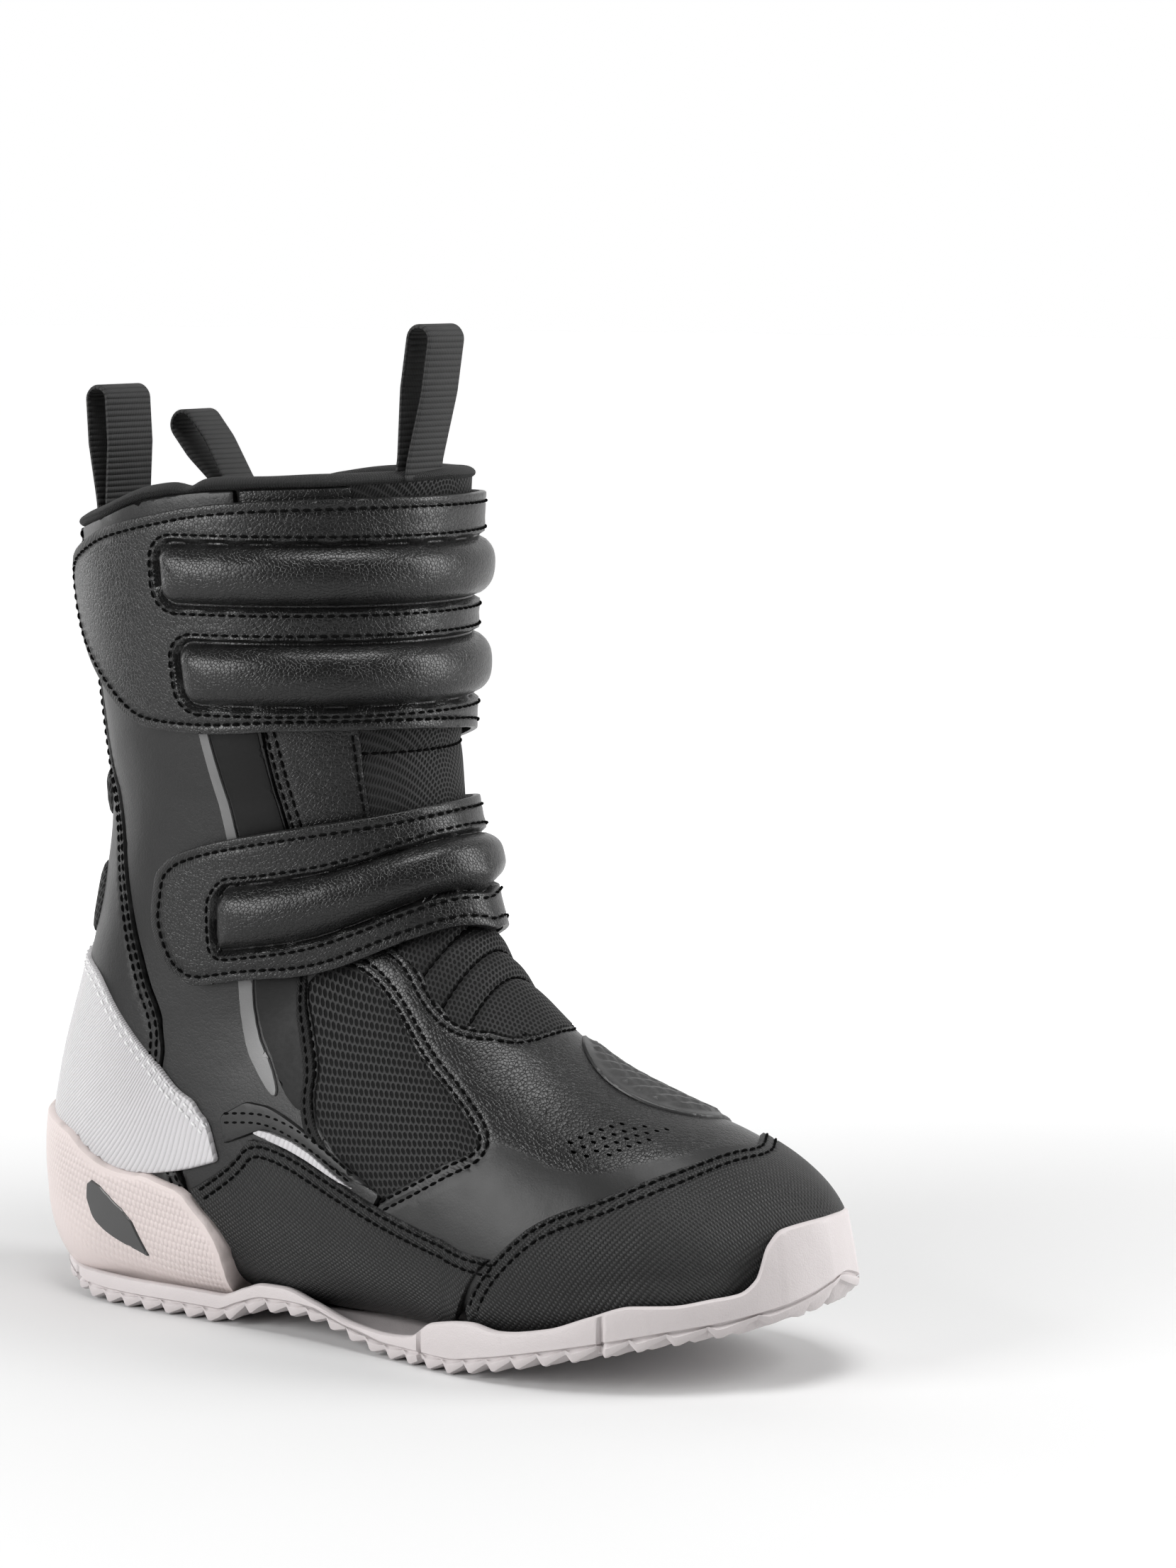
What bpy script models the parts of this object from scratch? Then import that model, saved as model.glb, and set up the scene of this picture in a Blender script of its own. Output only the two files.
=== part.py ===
"""Right-foot touring boot, built the way the real one is: sole, lasted upper panels, lining, closures.

Lengths are in millimetres and become metres when a mesh is made. +X is the toe, +Y the inner (medial)
side, +Z up, and the tread stands on z = 0. The upper is one smooth surface over which every panel lies.
A point of it is (v, u): v is the station, 0 at the toe tip, 1 below the ankle pivot, 2 level with it at
the back of the ankle and 3 at the collar; u runs round each section, 0 on the front or top middle line,
-1 and 1 on the back or bottom middle line, negative on the outer (lateral) side. A third number is the
height over the surface along its normal.
"""
import math

import bmesh
import bpy
import numpy as np
from mathutils import Matrix, Vector
from mathutils.geometry import delaunay_2d_cdt

MM = 0.001
ORIGIN_X = 1.106
ORIGIN_Y = -0.104

# ---------------------------------------------------------------- driving dimensions of the last
PIVOT_X = 36.0
PIVOT_Z = 178.0
COLLAR_Z = 290.0
TOE_X = 147.6
FRONT_PROFILE = [(148, 42), (145, 54), (131, 66), (108, 77), (84, 85.5), (60, 96), (41, 110), (24, 129),
                 (11, 151), (4, 176), (1.5, 205), (1, 240), (3, 270), (4.5, 292)]
BACK_PROFILE = [(148, 42), (144, 33), (128, 25), (102, 18.5), (64, 11.5), (10, 11), (-50, 12),
                (-100, 11), (-132, 13), (-145, 26), (-148, 46), (-143.5, 78), (-135, 108), (-127, 138),
                (-123, 168), (-125, 200), (-129, 235), (-133, 270), (-136, 292)]
# Half widths of the widest line: against x in the foot, against the turn in degrees round the ankle,
# and against z in the shaft.
FOOT_OUTER = [(36, 50), (60, 52), (80, 50.5), (100, 46), (118, 38), (132, 28), (142, 16), (147, 7),
              (148, 0.5)]
FOOT_INNER = [(36, 44), (60, 47), (80, 47), (100, 44.2), (118, 38.5), (132, 29.5), (142, 17.8), (147, 8),
              (148, 0.5)]
ANKLE_OUTER = [(0, 50), (20, 47), (40, 43), (60, 42), (90, 46)]
ANKLE_INNER = [(0, 44), (20, 39.5), (40, 39), (60, 40.5), (90, 46)]
SHAFT_HALF = [(178, 46), (205, 50), (240, 53.5), (290, 57)]
MIDDLE_Y = [(-150, 0), (30, 0), (80, 1.5), (120, 5), (153, 9)]
WIDEST_AT = [(0, 0.62), (0.6, 0.72), (1, 0.76), (1.3, 0.70), (1.6, 0.56), (2, 0.5), (3, 0.5)]
FRONT_POWER = [(0, 2.0), (0.5, 2.1), (1, 1.9), (1.5, 1.9), (2, 2.05), (3, 2.1)]
BACK_POWER = [(0, 2.6), (0.5, 3.6), (1, 3.6), (1.35, 3.2), (1.6, 3.0), (2, 2.35), (3, 2.2)]
STATIONS = 301
ROUND = 121

# ---------------------------------------------------------------- layers over the surface
BOOTIE = (-8.0, -6.2)
STIFFENER = (-4.8, -3.8)
ANKLE_CUP = (-4.9, -4.0)
GUSSET = (-3.3, -2.7)
LEATHER = (-1.4, 0.0)
OVERLAY = (1.2, 2.2)
COUNTER = (1.8, 4.4)
SHIFT_PAD = (0.9, 2.9)
FOOTBED = (-13.0, -9.4)
TRIM = (0.9, 1.4)
HOOK_TAPE = (1.9, 2.3)
STRAP = (3.1, 5.1)
STRAP_PAD = (5.8, 9.2)
BADGE = (5.0, 5.7)
FLAP_THICK = 1.4
SEAM = 0.5
WELD = 0.01
PLANE = (110.0, 140.0)
HEEL_PLANE = (200.0, 180.0)
EDGE_PLANE = (110.0, 180.0)
STRAP_PLANE = (70.0, 220.0)

# ---------------------------------------------------------------- outline points, (v, u) unless said
COLLAR_LINE = [(0, 2.955), (0.4, 2.935), (0.55, 2.905), (0.7, 2.83), (0.85, 2.79), (1, 2.78)]
TONGUE_OUTER = [(2.2, -0.18), (1.98, -0.17), (1.6, -0.155), (1.34, -0.145), (1.17, -0.18),
                (1.07, -0.175), (0.98, -0.12), (0.95, -0.05)]
TONGUE_INNER = [(0.95, 0.05), (0.98, 0.12), (1.07, 0.17), (1.17, 0.18), (1.34, 0.16), (1.6, 0.17),
                (1.98, 0.2), (2.2, 0.215)]
FACING_EDGE = [(2.2, -0.36), (1.93, -0.335), (1.7, -0.27), (1.52, -0.225)]
MESH_TOP = [(1.52, -0.225), (1.42, -0.215), (1.26, -0.245), (1.13, -0.285), (1.03, -0.305),
            (0.955, -0.34)]
MESH_LOW = [(0.955, -0.34), (0.97, -0.38), (1.065, -0.475), (1.13, -0.54), (1.235, -0.515),
            (1.30, -0.48), (1.34, -0.43), (1.36, -0.385), (1.44, -0.32), (1.52, -0.27)]
HEEL_EDGE = [(2.3, -0.82), (2.05, -0.80), (1.95, -0.75), (1.87, -0.72), (1.79, -0.675),
             (1.70, -0.605), (1.645, -0.56), (1.60, -0.55), (1.5, -0.60), (1.42, -0.70), (1.40, -0.84)]
ZIP_FRONT = [(2.5, 0.54), (2.22, 0.508), (2.0, 0.47), (1.88, 0.44), (1.7, 0.392), (1.6, 0.365),
             (1.5, 0.38), (1.40, 0.44)]
ZIP_BACK = [(1.40, 0.52), (1.5, 0.485), (1.7, 0.515), (1.88, 0.57), (2.0, 0.60), (2.22, 0.63),
            (2.5, 0.66)]
VAMP_SIDE = [(0.955, -0.34), (0.90, -0.31), (0.765, -0.32), (0.69, -0.31), (0.60, -0.25),
             (0.53, -0.19), (0.48, -0.12), (0.43, -0.03), (0.42, 0.1), (0.46, 0.2), (0.60, 0.30),
             (0.75, 0.36), (1.0, 0.36), (1.20, 0.30), (1.33, 0.24)]
CAP_SEAM = [(0.955, -0.69), (0.92, -0.60), (0.86, -0.51), (0.79, -0.435), (0.66, -0.365),
            (0.565, -0.295), (0.49, -0.215), (0.43, -0.09), (0.40, 0), (0.45, 0.10), (0.52, 0.22),
            (0.60, 0.32), (0.70, 0.41), (0.78, 0.50), (0.82, 0.60), (0.85, 0.665)]
CAP_BUMPER = [(0.25, 0.60), (0.21, 0.555), (0.19, 0.48), (0.18, 0.36), (0.12, 0.28), (0.09, 0.1),
              (0.09, -0.1), (0.12, -0.28), (0.18, -0.36), (0.19, -0.50), (0.21, -0.575),
              (0.25, -0.62)]
RAND_TOP_OUTER = [(1.425, -0.655), (1.405, -0.60), (1.40, -0.545), (1.34, -0.539), (1.22, -0.553),
                  (1.11, -0.564), (0.98, -0.567), (0.885, -0.545)]
RAND_TOP_INNER = [(1.425, 0.67), (1.36, 0.62), (1.2, 0.585), (0.98, 0.56), (0.81, 0.53)]
COUNTER_FRONT = [(1.435, 0.675), (1.41, 0.697), (1.37, 0.728), (1.34, 0.769), (1.33, 0.822)]
COUNTER_TOP = [(1.49, 0.667), (1.53, 0.703), (1.57, 0.739), (1.60, 0.775), (1.64, 0.88), (1.65, 1.0)]
HEEL_PANEL_FRONT = [(1.45, 0.64), (1.42, 0.606), (1.47, 0.542), (1.51, 0.522), (1.58, 0.550),
                    (1.64, 0.611), (1.72, 0.711), (1.76, 0.78), (1.79, 0.9), (1.80, 1.0)]

# ---------------------------------------------------------------- sole, plan outline and heights
SOLE_OUTER = [(-148, 0), (-143, -20), (-128, -34), (-105, -40.5), (-70, -42), (-30, -44.5), (10, -50),
              (45, -56.5), (70, -57), (95, -52), (118, -42), (136, -28), (149, -12), (154.5, 6)]
SOLE_INNER = [(154.5, 6), (150, 22), (137, 37), (118, 47), (95, 51), (70, 51), (45, 47), (10, 40),
              (-30, 36.5), (-70, 38), (-105, 39.5), (-128, 34), (-143, 20), (-148, 0)]
TREAD_Z = [(-150, 10), (-148, 9), (-135, 4), (-120, 0.5), (-110, 0), (-62, 0), (-52, 3.5), (-42, 6.5),
           (-30, 7), (-18, 6.5), (-8, 4.5), (4, 1.6), (14, 0), (40, 0), (55, 2.4), (70, 5.6),
           (90, 10), (114, 15.5), (135, 20), (150, 26), (155, 32)]
RIM_Z = [(-150, 17), (-143, 13), (-125, 10.5), (-60, 10.5), (-50, 14), (-42, 16.5), (-33, 16.8),
         (-19, 13.8), (-3, 9.8), (12, 8.6), (24, 9.8), (34, 15.8), (51, 18.5), (61, 17.2), (79, 19.8),
         (93, 24.8), (106, 29), (118, 29.5), (128, 31.5), (138, 35), (142, 40), (146, 53), (155, 57)]
PLATE_Z = [(-150, 14), (-143, 9.4), (-130, 8.6), (-60, 8.6), (-40, 9.4), (10, 8.0), (24, 8.4),
           (64, 8.8), (102, 15.8), (128, 22.2), (143, 29.5), (155, 40)]
RIM_WIDTH = 3.2
TREAD_BEVEL = 2.0
EDGE_BEVEL_HEIGHT = 3.0
SHANK_SIZE = (84.0, 20.0, 0.8)
SHANK_CENTRE = (-42.0, 0.0, 10.2)
LASTING_TURN = 0.86

# ---------------------------------------------------------------- lining and collar
BOOTIE_STATIONS = [0.13, 0.27, 0.44, 0.62, 0.8, 0.98, 1.14, 1.28, 1.39, 1.45, 1.5, 1.55, 1.64, 1.76,
                   1.9, 2.15, 2.5, 2.92]
BOOTIE_AROUND = 30
BELOW_COLLAR = 0.03
COLLAR_AROUND = 32
COLLAR_SECTION = [(-0.018, 1.2), (-0.018, -6.6), (0.012, -7.4), (0.034, -5.4), (0.034, -0.4),
                  (0.012, 2.0)]

# ---------------------------------------------------------------- small trim, outlines in (v, u)
SIDE_STRIP = [(1.465, -0.525), (1.445, -0.485), (1.40, -0.478), (1.315, -0.495), (1.14, -0.538),
              (1.20, -0.541), (1.31, -0.522), (1.385, -0.523), (1.43, -0.575)]
SHIFT_PAD_LINE = [(0.88, 0.0), (0.80, -0.05), (0.70, -0.06), (0.60, -0.02), (0.56, 0.06),
                  (0.60, 0.22), (0.68, 0.37), (1.02, 0.43), (1.06, 0.38), (0.97, 0.18), (0.92, 0.06)]
REFLECTIVE_LINE = [(2.35, -0.505), (2.17, -0.487), (2.0, -0.472), (1.91, -0.456), (1.75, -0.415),
                   (1.61, -0.385), (1.52, -0.395), (1.41, -0.47), (1.40, -0.45), (1.50, -0.372),
                   (1.61, -0.352), (1.75, -0.385), (1.91, -0.430), (2.0, -0.445), (2.17, -0.463),
                   (2.35, -0.48)]
BADGE_LINE = [(1.54, -0.745), (1.515, -0.73), (1.475, -0.745), (1.43, -0.81), (1.465, -0.80),
              (1.52, -0.78)]

# ---------------------------------------------------------------- straps, outlines in (v, u)
HINGE_TURN = 0.2
FOLD_RISE = 0.2
PAD_CLEAR = 0.045
UPPER_FLAP = [(2.17, 0.19), (2.20, 0.072), (2.22, -0.1), (2.225, -0.311), (2.205, -0.442),
              (2.21, -0.589), (2.24, -0.64), (2.31, -0.694), (2.42, -0.765), (2.53, -0.812),
              (2.64, -0.812), (2.71, -0.78), (2.76, -0.711), (2.80, -0.653), (2.84, -0.556),
              (2.89, -0.41), (2.905, -0.2), (2.905, 0.0), (2.90, 0.19)]
UPPER_BASE = [(2.17, 0.21), (2.90, 0.21), (2.885, 0.35), (2.86, 0.45), (2.82, 0.51), (2.5, 0.505),
              (2.22, 0.472), (2.07, 0.435), (2.10, 0.35)]
UPPER_PAD_TOP = (2.585, 2.77)
UPPER_PAD_LOW = (2.29, 2.48)
UPPER_HOOK = [(2.35, -0.56), (2.38, -0.70), (2.53, -0.77), (2.68, -0.74), (2.76, -0.62),
              (2.76, -0.56)]
UPPER_LOOP_TAPE = [(2.30, -0.53), (2.36, -0.70), (2.53, -0.79), (2.70, -0.76), (2.79, -0.60),
                   (2.80, -0.53)]
LOWER_TOP_EDGE = [(-0.62, 1.90), (-0.533, 1.90), (-0.331, 1.93), (-0.1, 1.96), (0.17, 1.98),
                  (0.35, 1.93), (0.45, 1.88)]
LOWER_BASE_EDGE = [(-0.62, 1.62), (-0.464, 1.64), (-0.336, 1.60), (-0.167, 1.45), (-0.08, 1.33),
                   (0, 1.22), (0.08, 1.28), (0.2, 1.40), (0.31, 1.48), (0.45, 1.56)]
LOWER_FLAP = [(1.40, 0.18), (1.28, 0.08), (1.22, 0.0), (1.33, -0.08), (1.45, -0.167),
              (1.60, -0.336), (1.65, -0.464), (1.67, -0.492), (1.72, -0.547), (1.80, -0.60),
              (1.87, -0.60), (1.89, -0.572), (1.90, -0.533), (1.93, -0.331), (1.96, -0.1),
              (1.98, 0.17), (1.7, 0.16)]
LOWER_BASE = [(1.41, 0.205), (1.7, 0.185), (1.98, 0.195), (1.93, 0.34), (1.885, 0.43),
              (1.7, 0.375), (1.50, 0.33), (1.475, 0.30)]
LOWER_PAD = [(1.73, -0.45), (1.83, -0.45), (1.80, -0.197), (1.77, 0.0), (1.80, 0.125),
             (1.56, 0.11), (1.44, 0.0), (1.59, -0.175), (1.67, -0.344)]
LOWER_PAD_INNER = [(1.62, 0.235), (1.83, 0.245), (1.80, 0.34), (1.65, 0.32)]
LOWER_HOOK = [(1.70, -0.46), (1.74, -0.55), (1.85, -0.57), (1.87, -0.46)]
LOWER_LOOP_TAPE = [(1.68, -0.47), (1.73, -0.575), (1.87, -0.59), (1.885, -0.47)]

# ---------------------------------------------------------------- zip, flap and pull loops
ZIP_TOP = (2.82, 0.61, 0.0)
ZIP_LOW = (1.5, 0.43, -0.1)
TEETH_WIDTH = 5.0
TEETH_HEIGHT = (-0.4, 0.9)
TAPE_WIDTH = 5.0
TAPE_HEIGHT = (-0.3, 0.3)
SLIDER = (11.0, 8.0, 1.8)
PULLER = (17.0, 6.0, 1.0, 3.0)
PULLER_GAP = 0.6
FLAP_ENDS = (1.53, 2.64)
FLAP_ROWS = 18
FLAP_FOLD = 2.6
# Share of the way from the front edge to the back one, and the underside's height there.
FLAP_LIFT = [(0.0, 1.0), (0.08, 1.5), (0.16, 4.2), (0.26, 5.6), (0.5, 6.0), (0.75, 5.6), (1.0, 4.4)]
FLAP_FRONT = [(2.64, 0.54), (2.5, 0.53), (2.22, 0.497), (2.0, 0.455), (1.88, 0.425), (1.7, 0.375),
              (1.6, 0.345), (1.53, 0.345)]
FLAP_BACK = [(1.53, 0.50), (1.6, 0.515), (1.7, 0.53), (1.88, 0.585), (2.0, 0.625),
             (2.22, 0.665), (2.5, 0.70), (2.64, 0.705)]
LOOP_DEPTH = -2.8
PULL_LOOPS = [
    ("rear_pull_loop", (2.842, 1.0), -3, (24.0, 40.0, 10.0, 1.8)),
    ("front_pull_loop", (3.008, -0.05), 5, (18.0, 46.0, 9.0, 1.6)),
    ("side_pull_loop", (2.89, 0.76), -28, (16.0, 30.0, 11.0, 1.6)),
]


# ================================================================= curves
def knots(table):
    """A smooth function through the table's points that never overshoots them."""
    x, y = np.array(table, float).T
    gap = np.diff(x)
    slope = np.diff(y) / gap
    tangent = np.zeros(len(x))
    tangent[0], tangent[-1] = slope[0], slope[-1]
    for i in range(1, len(x) - 1):
        if slope[i - 1] * slope[i] > 0:
            tangent[i] = 2 * slope[i - 1] * slope[i] / (slope[i - 1] + slope[i])

    def value(at):
        i = np.clip(np.searchsorted(x, at) - 1, 0, len(x) - 2)
        q = np.clip((at - x[i]) / gap[i], 0, 1)
        start = (1 + 2 * q) * (1 - q) ** 2 * y[i] + q * (1 - q) ** 2 * gap[i] * tangent[i]
        end = q * q * (3 - 2 * q) * y[i + 1] + q * q * (q - 1) * gap[i] * tangent[i + 1]
        return start + end

    return value


def smooth_line(points, pieces=24):
    """A centripetal Catmull-Rom line through the points."""
    p = np.array(points, float)
    p = np.vstack([2 * p[0] - p[1], p, 2 * p[-1] - p[-2]])
    line = []
    for a, b, c, d in zip(p, p[1:], p[2:], p[3:]):
        ta = 0.0
        tb = ta + np.linalg.norm(b - a) ** 0.5
        tc = tb + np.linalg.norm(c - b) ** 0.5
        td = tc + np.linalg.norm(d - c) ** 0.5
        for t in np.linspace(tb, tc, pieces, endpoint=False):
            ab = (tb - t) / (tb - ta) * a + (t - ta) / (tb - ta) * b
            bc = (tc - t) / (tc - tb) * b + (t - tb) / (tc - tb) * c
            cd = (td - t) / (td - tc) * c + (t - tc) / (td - tc) * d
            abc = (tc - t) / (tc - ta) * ab + (t - ta) / (tc - ta) * bc
            bcd = (td - t) / (td - tb) * bc + (t - tb) / (td - tb) * cd
            line.append((tc - t) / (tc - tb) * abc + (t - tb) / (tc - tb) * bcd)
    line.append(p[-2])
    return np.array(line)


# ================================================================= the upper's surface
class Surface:
    """The lasted upper as a table of points and normals over (v, u)."""

    def __init__(self):
        front = smooth_line(FRONT_PROFILE)
        back = smooth_line(BACK_PROFILE)
        widths = [(knots(FOOT_OUTER), knots(FOOT_INNER)), (knots(ANKLE_OUTER), knots(ANKLE_INNER)),
                  (knots(SHAFT_HALF), knots(SHAFT_HALF))]
        middle, widest = knots(MIDDLE_Y), knots(WIDEST_AT)
        front_power, back_power = knots(FRONT_POWER), knots(BACK_POWER)
        self.points = np.zeros((STATIONS, 2 * ROUND - 1, 3))
        angle = np.linspace(0, math.pi, 240)
        cos, sin = np.abs(np.cos(angle)), np.abs(np.sin(angle))
        fore = angle < math.pi / 2
        for i, v in enumerate(np.linspace(0, 3, STATIONS)):
            start, along, key, part = self.section_line(v)
            near = min(s for s in crossings(front, start, along) if s > -60)
            far = max(crossings(back, start, along))
            a, b = front_power(v), back_power(v)
            t = np.where(fore, widest(v) * (1 - cos ** (2 / a)),
                         widest(v) + (1 - widest(v)) * cos ** (2 / b))
            out = np.where(fore, sin ** (2 / a), sin ** (2 / b))
            side = start + (near + (far - near) * t)[:, None] * along
            y_mid = middle(side[:, 0].mean()) if v <= 1 else 0.0
            for sign, width in zip((-1, 1), widths[part]):
                curve = np.stack([side[:, 0], y_mid + sign * width(key) * out, side[:, 1]], 1)
                run = np.r_[0, np.cumsum(np.linalg.norm(np.diff(curve, axis=0), axis=1))]
                even = np.linspace(0, run[-1], ROUND)
                row = np.stack([np.interp(even, run, curve[:, k]) for k in range(3)], 1)
                if sign < 0:
                    self.points[i, ROUND - 1::-1] = row
                else:
                    self.points[i, ROUND - 1:] = row
        across = np.gradient(self.points, axis=1)
        normal = np.cross(np.gradient(self.points, axis=0), across)
        centre = self.points.mean(axis=1, keepdims=True)
        if np.median(((self.points - centre) * normal).sum(axis=2)) < 0:
            normal = -normal
        seam = normal[:, 0] + normal[:, -1]
        normal[:, 0] = seam
        normal[:, -1] = seam
        self.normals = normal / (np.linalg.norm(normal, axis=2, keepdims=True) + 1e-12)

    @staticmethod
    def section_line(v):
        """Start, direction, width key and width part of the section at station v, in the side view."""
        if v <= 1:
            x = TOE_X - (TOE_X - PIVOT_X) * (0.35 * v + 0.65 * v * v)
            return np.array([x, PIVOT_Z]), np.array([0.0, -1.0]), x, 0
        if v <= 2:
            turn = math.radians((v - 1) * 90)
            down = np.array([-math.sin(turn), -math.cos(turn)])
            return np.array([PIVOT_X, PIVOT_Z]), down, (v - 1) * 90, 1
        z = PIVOT_Z + (COLLAR_Z - PIVOT_Z) * (v - 2)
        return np.array([PIVOT_X, z]), np.array([-1.0, 0.0]), z, 2

    def at(self, v, u, height=0.0):
        """Points at stations v, turns u and heights over the surface."""
        v, u = np.broadcast_arrays(np.asarray(v, float), np.asarray(u, float))
        u = (u + 1) % 2 - 1
        row = np.clip(v / 3 * (STATIONS - 1), 0, STATIONS - 1.0001)
        column = np.clip((u + 1) / 2 * (2 * ROUND - 2), 0, 2 * ROUND - 2.0001)
        i, j = row.astype(int), column.astype(int)
        a, b = (row - i)[..., None], (column - j)[..., None]

        def read(table):
            low = table[i, j] * (1 - b) + table[i, j + 1] * b
            high = table[i + 1, j] * (1 - b) + table[i + 1, j + 1] * b
            return low * (1 - a) + high * a

        normal = read(self.normals)
        normal = normal / (np.linalg.norm(normal, axis=-1, keepdims=True) + 1e-12)
        return read(self.points) + np.asarray(height, float)[..., None] * normal


def crossings(line, start, along):
    """Distances from start at which the ray along meets the line."""
    side = (line - start) @ np.array([-along[1], along[0]])
    meets = []
    for i in np.nonzero(side[:-1] * side[1:] <= 0)[0]:
        if side[i] != side[i + 1]:
            point = line[i] + side[i] / (side[i] - side[i + 1]) * (line[i + 1] - line[i])
            meets.append((point - start) @ along)
    return meets


# ================================================================= meshes and materials
def material(name, colour, roughness, metallic=0.0):
    made = bpy.data.materials.new(name)
    made.use_nodes = True
    shader = made.node_tree.nodes["Principled BSDF"]
    shader.inputs["Base Color"].default_value = (*colour, 1.0)
    shader.inputs["Roughness"].default_value = roughness
    shader.inputs["Metallic"].default_value = metallic
    return made


def add_object(name, points, faces, finish, weld=False):
    """One closed mesh object from points in millimetres; weld joins points in the same place."""
    shift = np.array([ORIGIN_X, ORIGIN_Y, 0.0])
    mesh = bpy.data.meshes.new(name)
    metres = [tuple((np.asarray(p) - shift) * MM) for p in points]
    mesh.from_pydata(metres, [], [tuple(f) for f in faces])
    shape = bmesh.new()
    shape.from_mesh(mesh)
    if weld:
        bmesh.ops.remove_doubles(shape, verts=shape.verts, dist=WELD * MM)
    bmesh.ops.recalc_face_normals(shape, faces=shape.faces)
    bmesh.ops.triangulate(shape, faces=shape.faces)
    shape.to_mesh(mesh)
    shape.free()
    mesh.shade_smooth()
    mesh.set_sharp_from_angle(angle=math.radians(40))
    made = bpy.data.objects.new(name, mesh)
    made.data.materials.append(finish)
    bpy.context.collection.objects.link(made)
    return made


def sample_edges(outline, step, plane=PLANE):
    """The closed outline's points with each edge cut into steps, spread flat by the plane's scales."""
    flat = np.array(outline) * plane
    points = []
    for a, b in zip(flat, np.roll(flat, -1, axis=0)):
        length = np.linalg.norm(b - a)
        if length > WELD:
            count = max(1, int(round(length / step)))
            points += [a + (b - a) * k / count for k in range(count)]
    return np.array(points)


def inset(loop, gap):
    """The closed loop moved inwards by gap."""
    area = 0.5 * np.sum(loop[:, 0] * np.roll(loop[:, 1], -1) - np.roll(loop[:, 0], -1) * loop[:, 1])
    turn = 1.0 if area > 0 else -1.0
    edge = np.roll(loop, -1, axis=0) - loop
    edge = edge / np.linalg.norm(edge, axis=1, keepdims=True)
    side = turn * np.stack([-edge[:, 1], edge[:, 0]], 1)
    both = side + np.roll(side, 1, axis=0)
    stretch = np.maximum((both * both).sum(axis=1, keepdims=True) / 2, 0.6)
    return loop + gap * both / stretch


def inside(points, loop):
    """Whether each point lies inside the closed loop."""
    ahead = np.roll(loop, -1, axis=0)
    x, y = points[:, :1], points[:, 1:]
    spans = (loop[:, 1] > y) != (ahead[:, 1] > y)
    rise = np.where(ahead[:, 1] == loop[:, 1], 1e-9, ahead[:, 1] - loop[:, 1])
    cross = loop[:, 0] + (y - loop[:, 1]) / rise * (ahead[:, 0] - loop[:, 0])
    return (spans & (x < cross)).sum(axis=1) % 2 == 1


def lattice(loop, cell):
    """A triangular lattice of points inside the loop and clear of it."""
    low, high = loop.min(axis=0), loop.max(axis=0)
    rows = np.arange(low[1] + cell / 2, high[1], cell * 0.866)
    points = []
    for k, y in enumerate(rows):
        start = low[0] + cell * (0.25 + 0.5 * (k % 2))
        points += [(x, y) for x in np.arange(start, high[0], cell)]
    points = np.array(points).reshape(-1, 2)
    points = points[inside(points, loop)]
    near = np.linalg.norm(points[:, None] - loop[None], axis=2).min(axis=1)
    return points[near > 0.55 * cell]


def flat_triangles(loop, inner_points):
    """Points and triangles that fill the loop."""
    points = [Vector(p) for p in np.vstack([loop, inner_points])]
    made = delaunay_2d_cdt(points, [], [list(range(len(loop)))], 1, 1e-6)
    return np.array([tuple(p) for p in made[0]]), [tuple(f) for f in made[2]]


def border_edges(triangles):
    """The directed edges that only one triangle has."""
    edges = {(t[k], t[(k + 1) % 3]) for t in triangles for k in range(3)}
    return [(a, b) for a, b in edges if (b, a) not in edges]


def slab(top, bottom, triangles):
    """A closed solid between two sheets of points that share their triangles."""
    count = len(top)
    faces = list(triangles)
    faces += [(a + count, c + count, b + count) for a, b, c in triangles]
    faces += [(b, a, a + count, b + count) for a, b in border_edges(triangles)]
    return np.vstack([top, bottom]), faces


def panel(name, outline, layer, finish, cell=12.0, gap=SEAM, crown=0.0, plane=PLANE, place=None):
    """A sheet of the upper: the outline is in (v, u), the layer gives its inner and outer heights.

    With a crown the outer face falls by that much towards the outline, as a stuffed pad's does.
    The plane's two scales spread (v, u) for the lattice, and place puts (v, u, height) in space.
    """
    loop = inset(sample_edges(outline, cell, plane), gap)
    flat, triangles = flat_triangles(loop, lattice(loop, cell))
    v, u = flat[:, 0] / plane[0], flat[:, 1] / plane[1]
    drop = np.zeros(len(flat))
    drop[list({a for edge in border_edges(triangles) for a in edge})] = crown
    place = place or UPPER.at
    outer = place(v, u, np.full(len(v), layer[1]) - drop)
    inner = place(v, u, np.full(len(v), layer[0]))
    return add_object(name, *slab(outer, inner, triangles), finish)


def hang(pieces, name, point, direction=(0.0, 0.0, 1.0)):
    """Parents the pieces to an empty that stands on their joint's axis, with its Z along the axis."""
    axis = bpy.data.objects.new(name, None)
    turn = Vector(direction).to_track_quat("Z", "Y").to_matrix().to_4x4()
    middle = Vector(np.asarray(point) - (ORIGIN_X, ORIGIN_Y, 0.0)) * MM
    axis.matrix_world = Matrix.Translation(middle) @ turn
    bpy.context.collection.objects.link(axis)
    for piece in pieces:
        piece.parent = axis
        piece.matrix_parent_inverse = axis.matrix_world.inverted()


def mirrored(outline):
    """The outline on the other side of the boot."""
    return [(v, -u) for v, u in outline]


def backwards(outline):
    return list(reversed(outline))


def top_line(u_start, u_end, count=7):
    """Points under the collar line from one turn to another."""
    return [(float(COLLAR(abs(abs(u) - 2 * (abs(u) > 1)))) - BELOW_COLLAR, float(u))
            for u in np.linspace(u_start, u_end, count)]


def rim_turn(v, side, clearance=2.0, height=0.0):
    """The turn at which the upper comes down to the sole's rim at station v."""
    turns = np.linspace(0.3, LASTING_TURN - 0.05, 110)
    points = UPPER.at(np.full(len(turns), v), side * turns, np.full(len(turns), height))
    over = points[:, 2] - RIM(points[:, 0]) - clearance
    below = np.nonzero(over < 0)[0]
    return side * float(turns[below[0] - 1] if len(below) and below[0] > 0 else turns[-1])


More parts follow.
